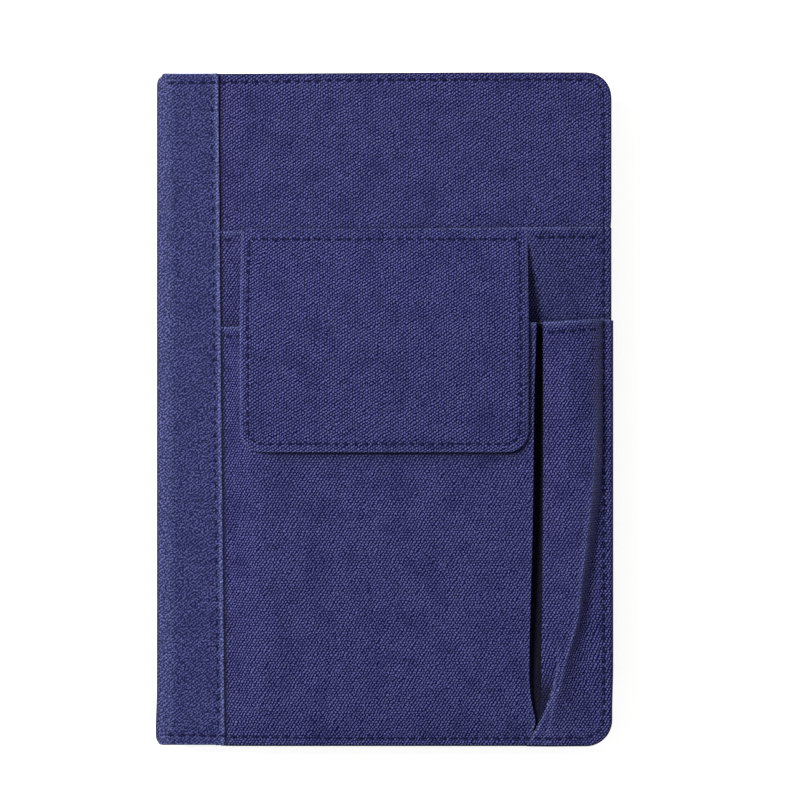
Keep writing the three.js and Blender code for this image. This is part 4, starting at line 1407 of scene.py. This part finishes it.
def make_end_band(node):
    """A wound silk roll at the head or tail of the block's back."""
    low, high = corners(node)
    radius = (high[1] - low[1]) / 2 + 0.05
    cx, cy = (low[0] + high[0]) / 2, (low[1] + high[1]) / 2
    zs = lines((low[2] + 0.2, 0.09), (high[2] - 0.2, 1))
    angles = np.linspace(0, 2 * math.pi, 17)
    angle, z = np.meshgrid(angles, zs)
    swell = radius + 0.07 * np.abs(np.sin(math.pi * z / 0.27))
    surface = Surface()
    points = stack(cx + 1.25 * swell * np.cos(angle), cy + swell * np.sin(angle), z)
    index = surface.grid(points, pair(angle, z))
    for ring in (index[0, :-1], index[-1, :-1]):
        surface.faces.append(tuple(int(k) for k in ring))
    piece = surface.piece(node + "_roll", (1, 0, 0))
    face_outward(piece.data, weld=True)
    dress(piece, silk_look, "headband", "text_block", node)


def make_text_block():
    for number in range(1, 7):
        make_signature(number)
    for node in ("headband", "tailband"):
        make_end_band(node)
    gutter = corners("front_flyleaf")[0][0]
    make_spine_board()
    start, end = (gutter * MM, 0, 0), ((gutter + LEAF_BEND) * MM, 0, 0)
    for number in range(1, 4):
        make_leaf(f"ruled_leaf_{number}", page_look, "paper", start, end)
    for node in ("front_flyleaf", "back_flyleaf"):
        make_leaf(node, endpaper_look, "endpaper", start, end)


def make_spine_board():
    """The board in the spine, a little shorter than the boards so that the band's corners can round off."""
    low, high = corners("spine_board")
    ys = np.linspace(low[1] + 1.6, high[1] - 1.6, 60)
    zs = np.linspace(low[2], high[2], 12)
    grid_y, grid_z = np.meshgrid(ys, zs)
    board = Surface()
    board.grid(stack(high[0], grid_y, grid_z), pair(grid_y, grid_z))
    dress(board.piece("spine_board_card", (1, 0, 0), high[0] - low[0]), board_look, "board", "text_block",
          "spine_board")


def dress_hidden_parts():
    """CAD pieces that keep their shape and take a finer material."""
    looks = {
        "front_board": board_look, "back_board": board_look,
        "front_lining": endpaper_look, "back_lining": endpaper_look,
        "mull": gauze_look, "flap_magnet": metal_look, "pocket_magnet": metal_look,
        "pocket_magnet_patch": patch_material("magnet_patch_cloth"),
    }
    for node, look in looks.items():
        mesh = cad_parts[node].data
        mesh.materials.clear()
        mesh.materials.append(look)


# ---------------------------------------------------------------- stage


VIEW_WIDTH = 255.5  # what the view takes in at the cover's face
VIEW_CENTRE = 5.1, 2.7


def make_stage():
    bpy.ops.mesh.primitive_plane_add(size=6, location=(0, 0, -0.0002))
    floor = bpy.context.object
    floor.name = "pale_floor"
    floor.data.materials.append(floor_material())

    world = bpy.data.worlds.new("studio")
    bpy.context.scene.world = world
    world.use_nodes = True
    world.node_tree.nodes["Background"].inputs[0].default_value = rgb(1, 1, 1)
    world.node_tree.nodes["Background"].inputs[1].default_value = 0.5

    def lamp(name, place, target, size, watts):
        data = bpy.data.lights.new(name, "AREA")
        data.shape = "DISK"
        data.size = size
        data.energy = watts
        made = bpy.data.objects.new(name, data)
        made.location = place
        made.rotation_euler = (Vector(target) - Vector(place)).to_track_quat("-Z", "Y").to_euler()
        bpy.context.scene.collection.objects.link(made)

    lamp("key", (-0.55, 0.3, 1.0), (0, 0, 0), 0.3, 21)

    camera = bpy.data.objects.new("camera", bpy.data.cameras.new("camera"))
    camera.data.lens = 100
    camera.data.sensor_width = 36
    camera.data.clip_end = 20
    distance = VIEW_WIDTH * MM * camera.data.lens / camera.data.sensor_width
    camera.location = (VIEW_CENTRE[0] * MM, VIEW_CENTRE[1] * MM, FACE * MM + distance)
    bpy.context.scene.collection.objects.link(camera)
    bpy.context.scene.camera = camera
    bpy.context.scene.view_settings.view_transform = "Standard"


make_stage()
cover_front, cover_back = make_covers()
slip_panel = make_slip_pocket()
phone_panel = make_phone_pocket()
pen_panel = make_pen_pocket()
flap_face = make_flap()
band_front, band_back = make_spine()
make_stitches(cover_front, cover_back, band_front, band_back, slip_panel, phone_panel, pen_panel, flap_face)
make_text_block()
dress_hidden_parts()
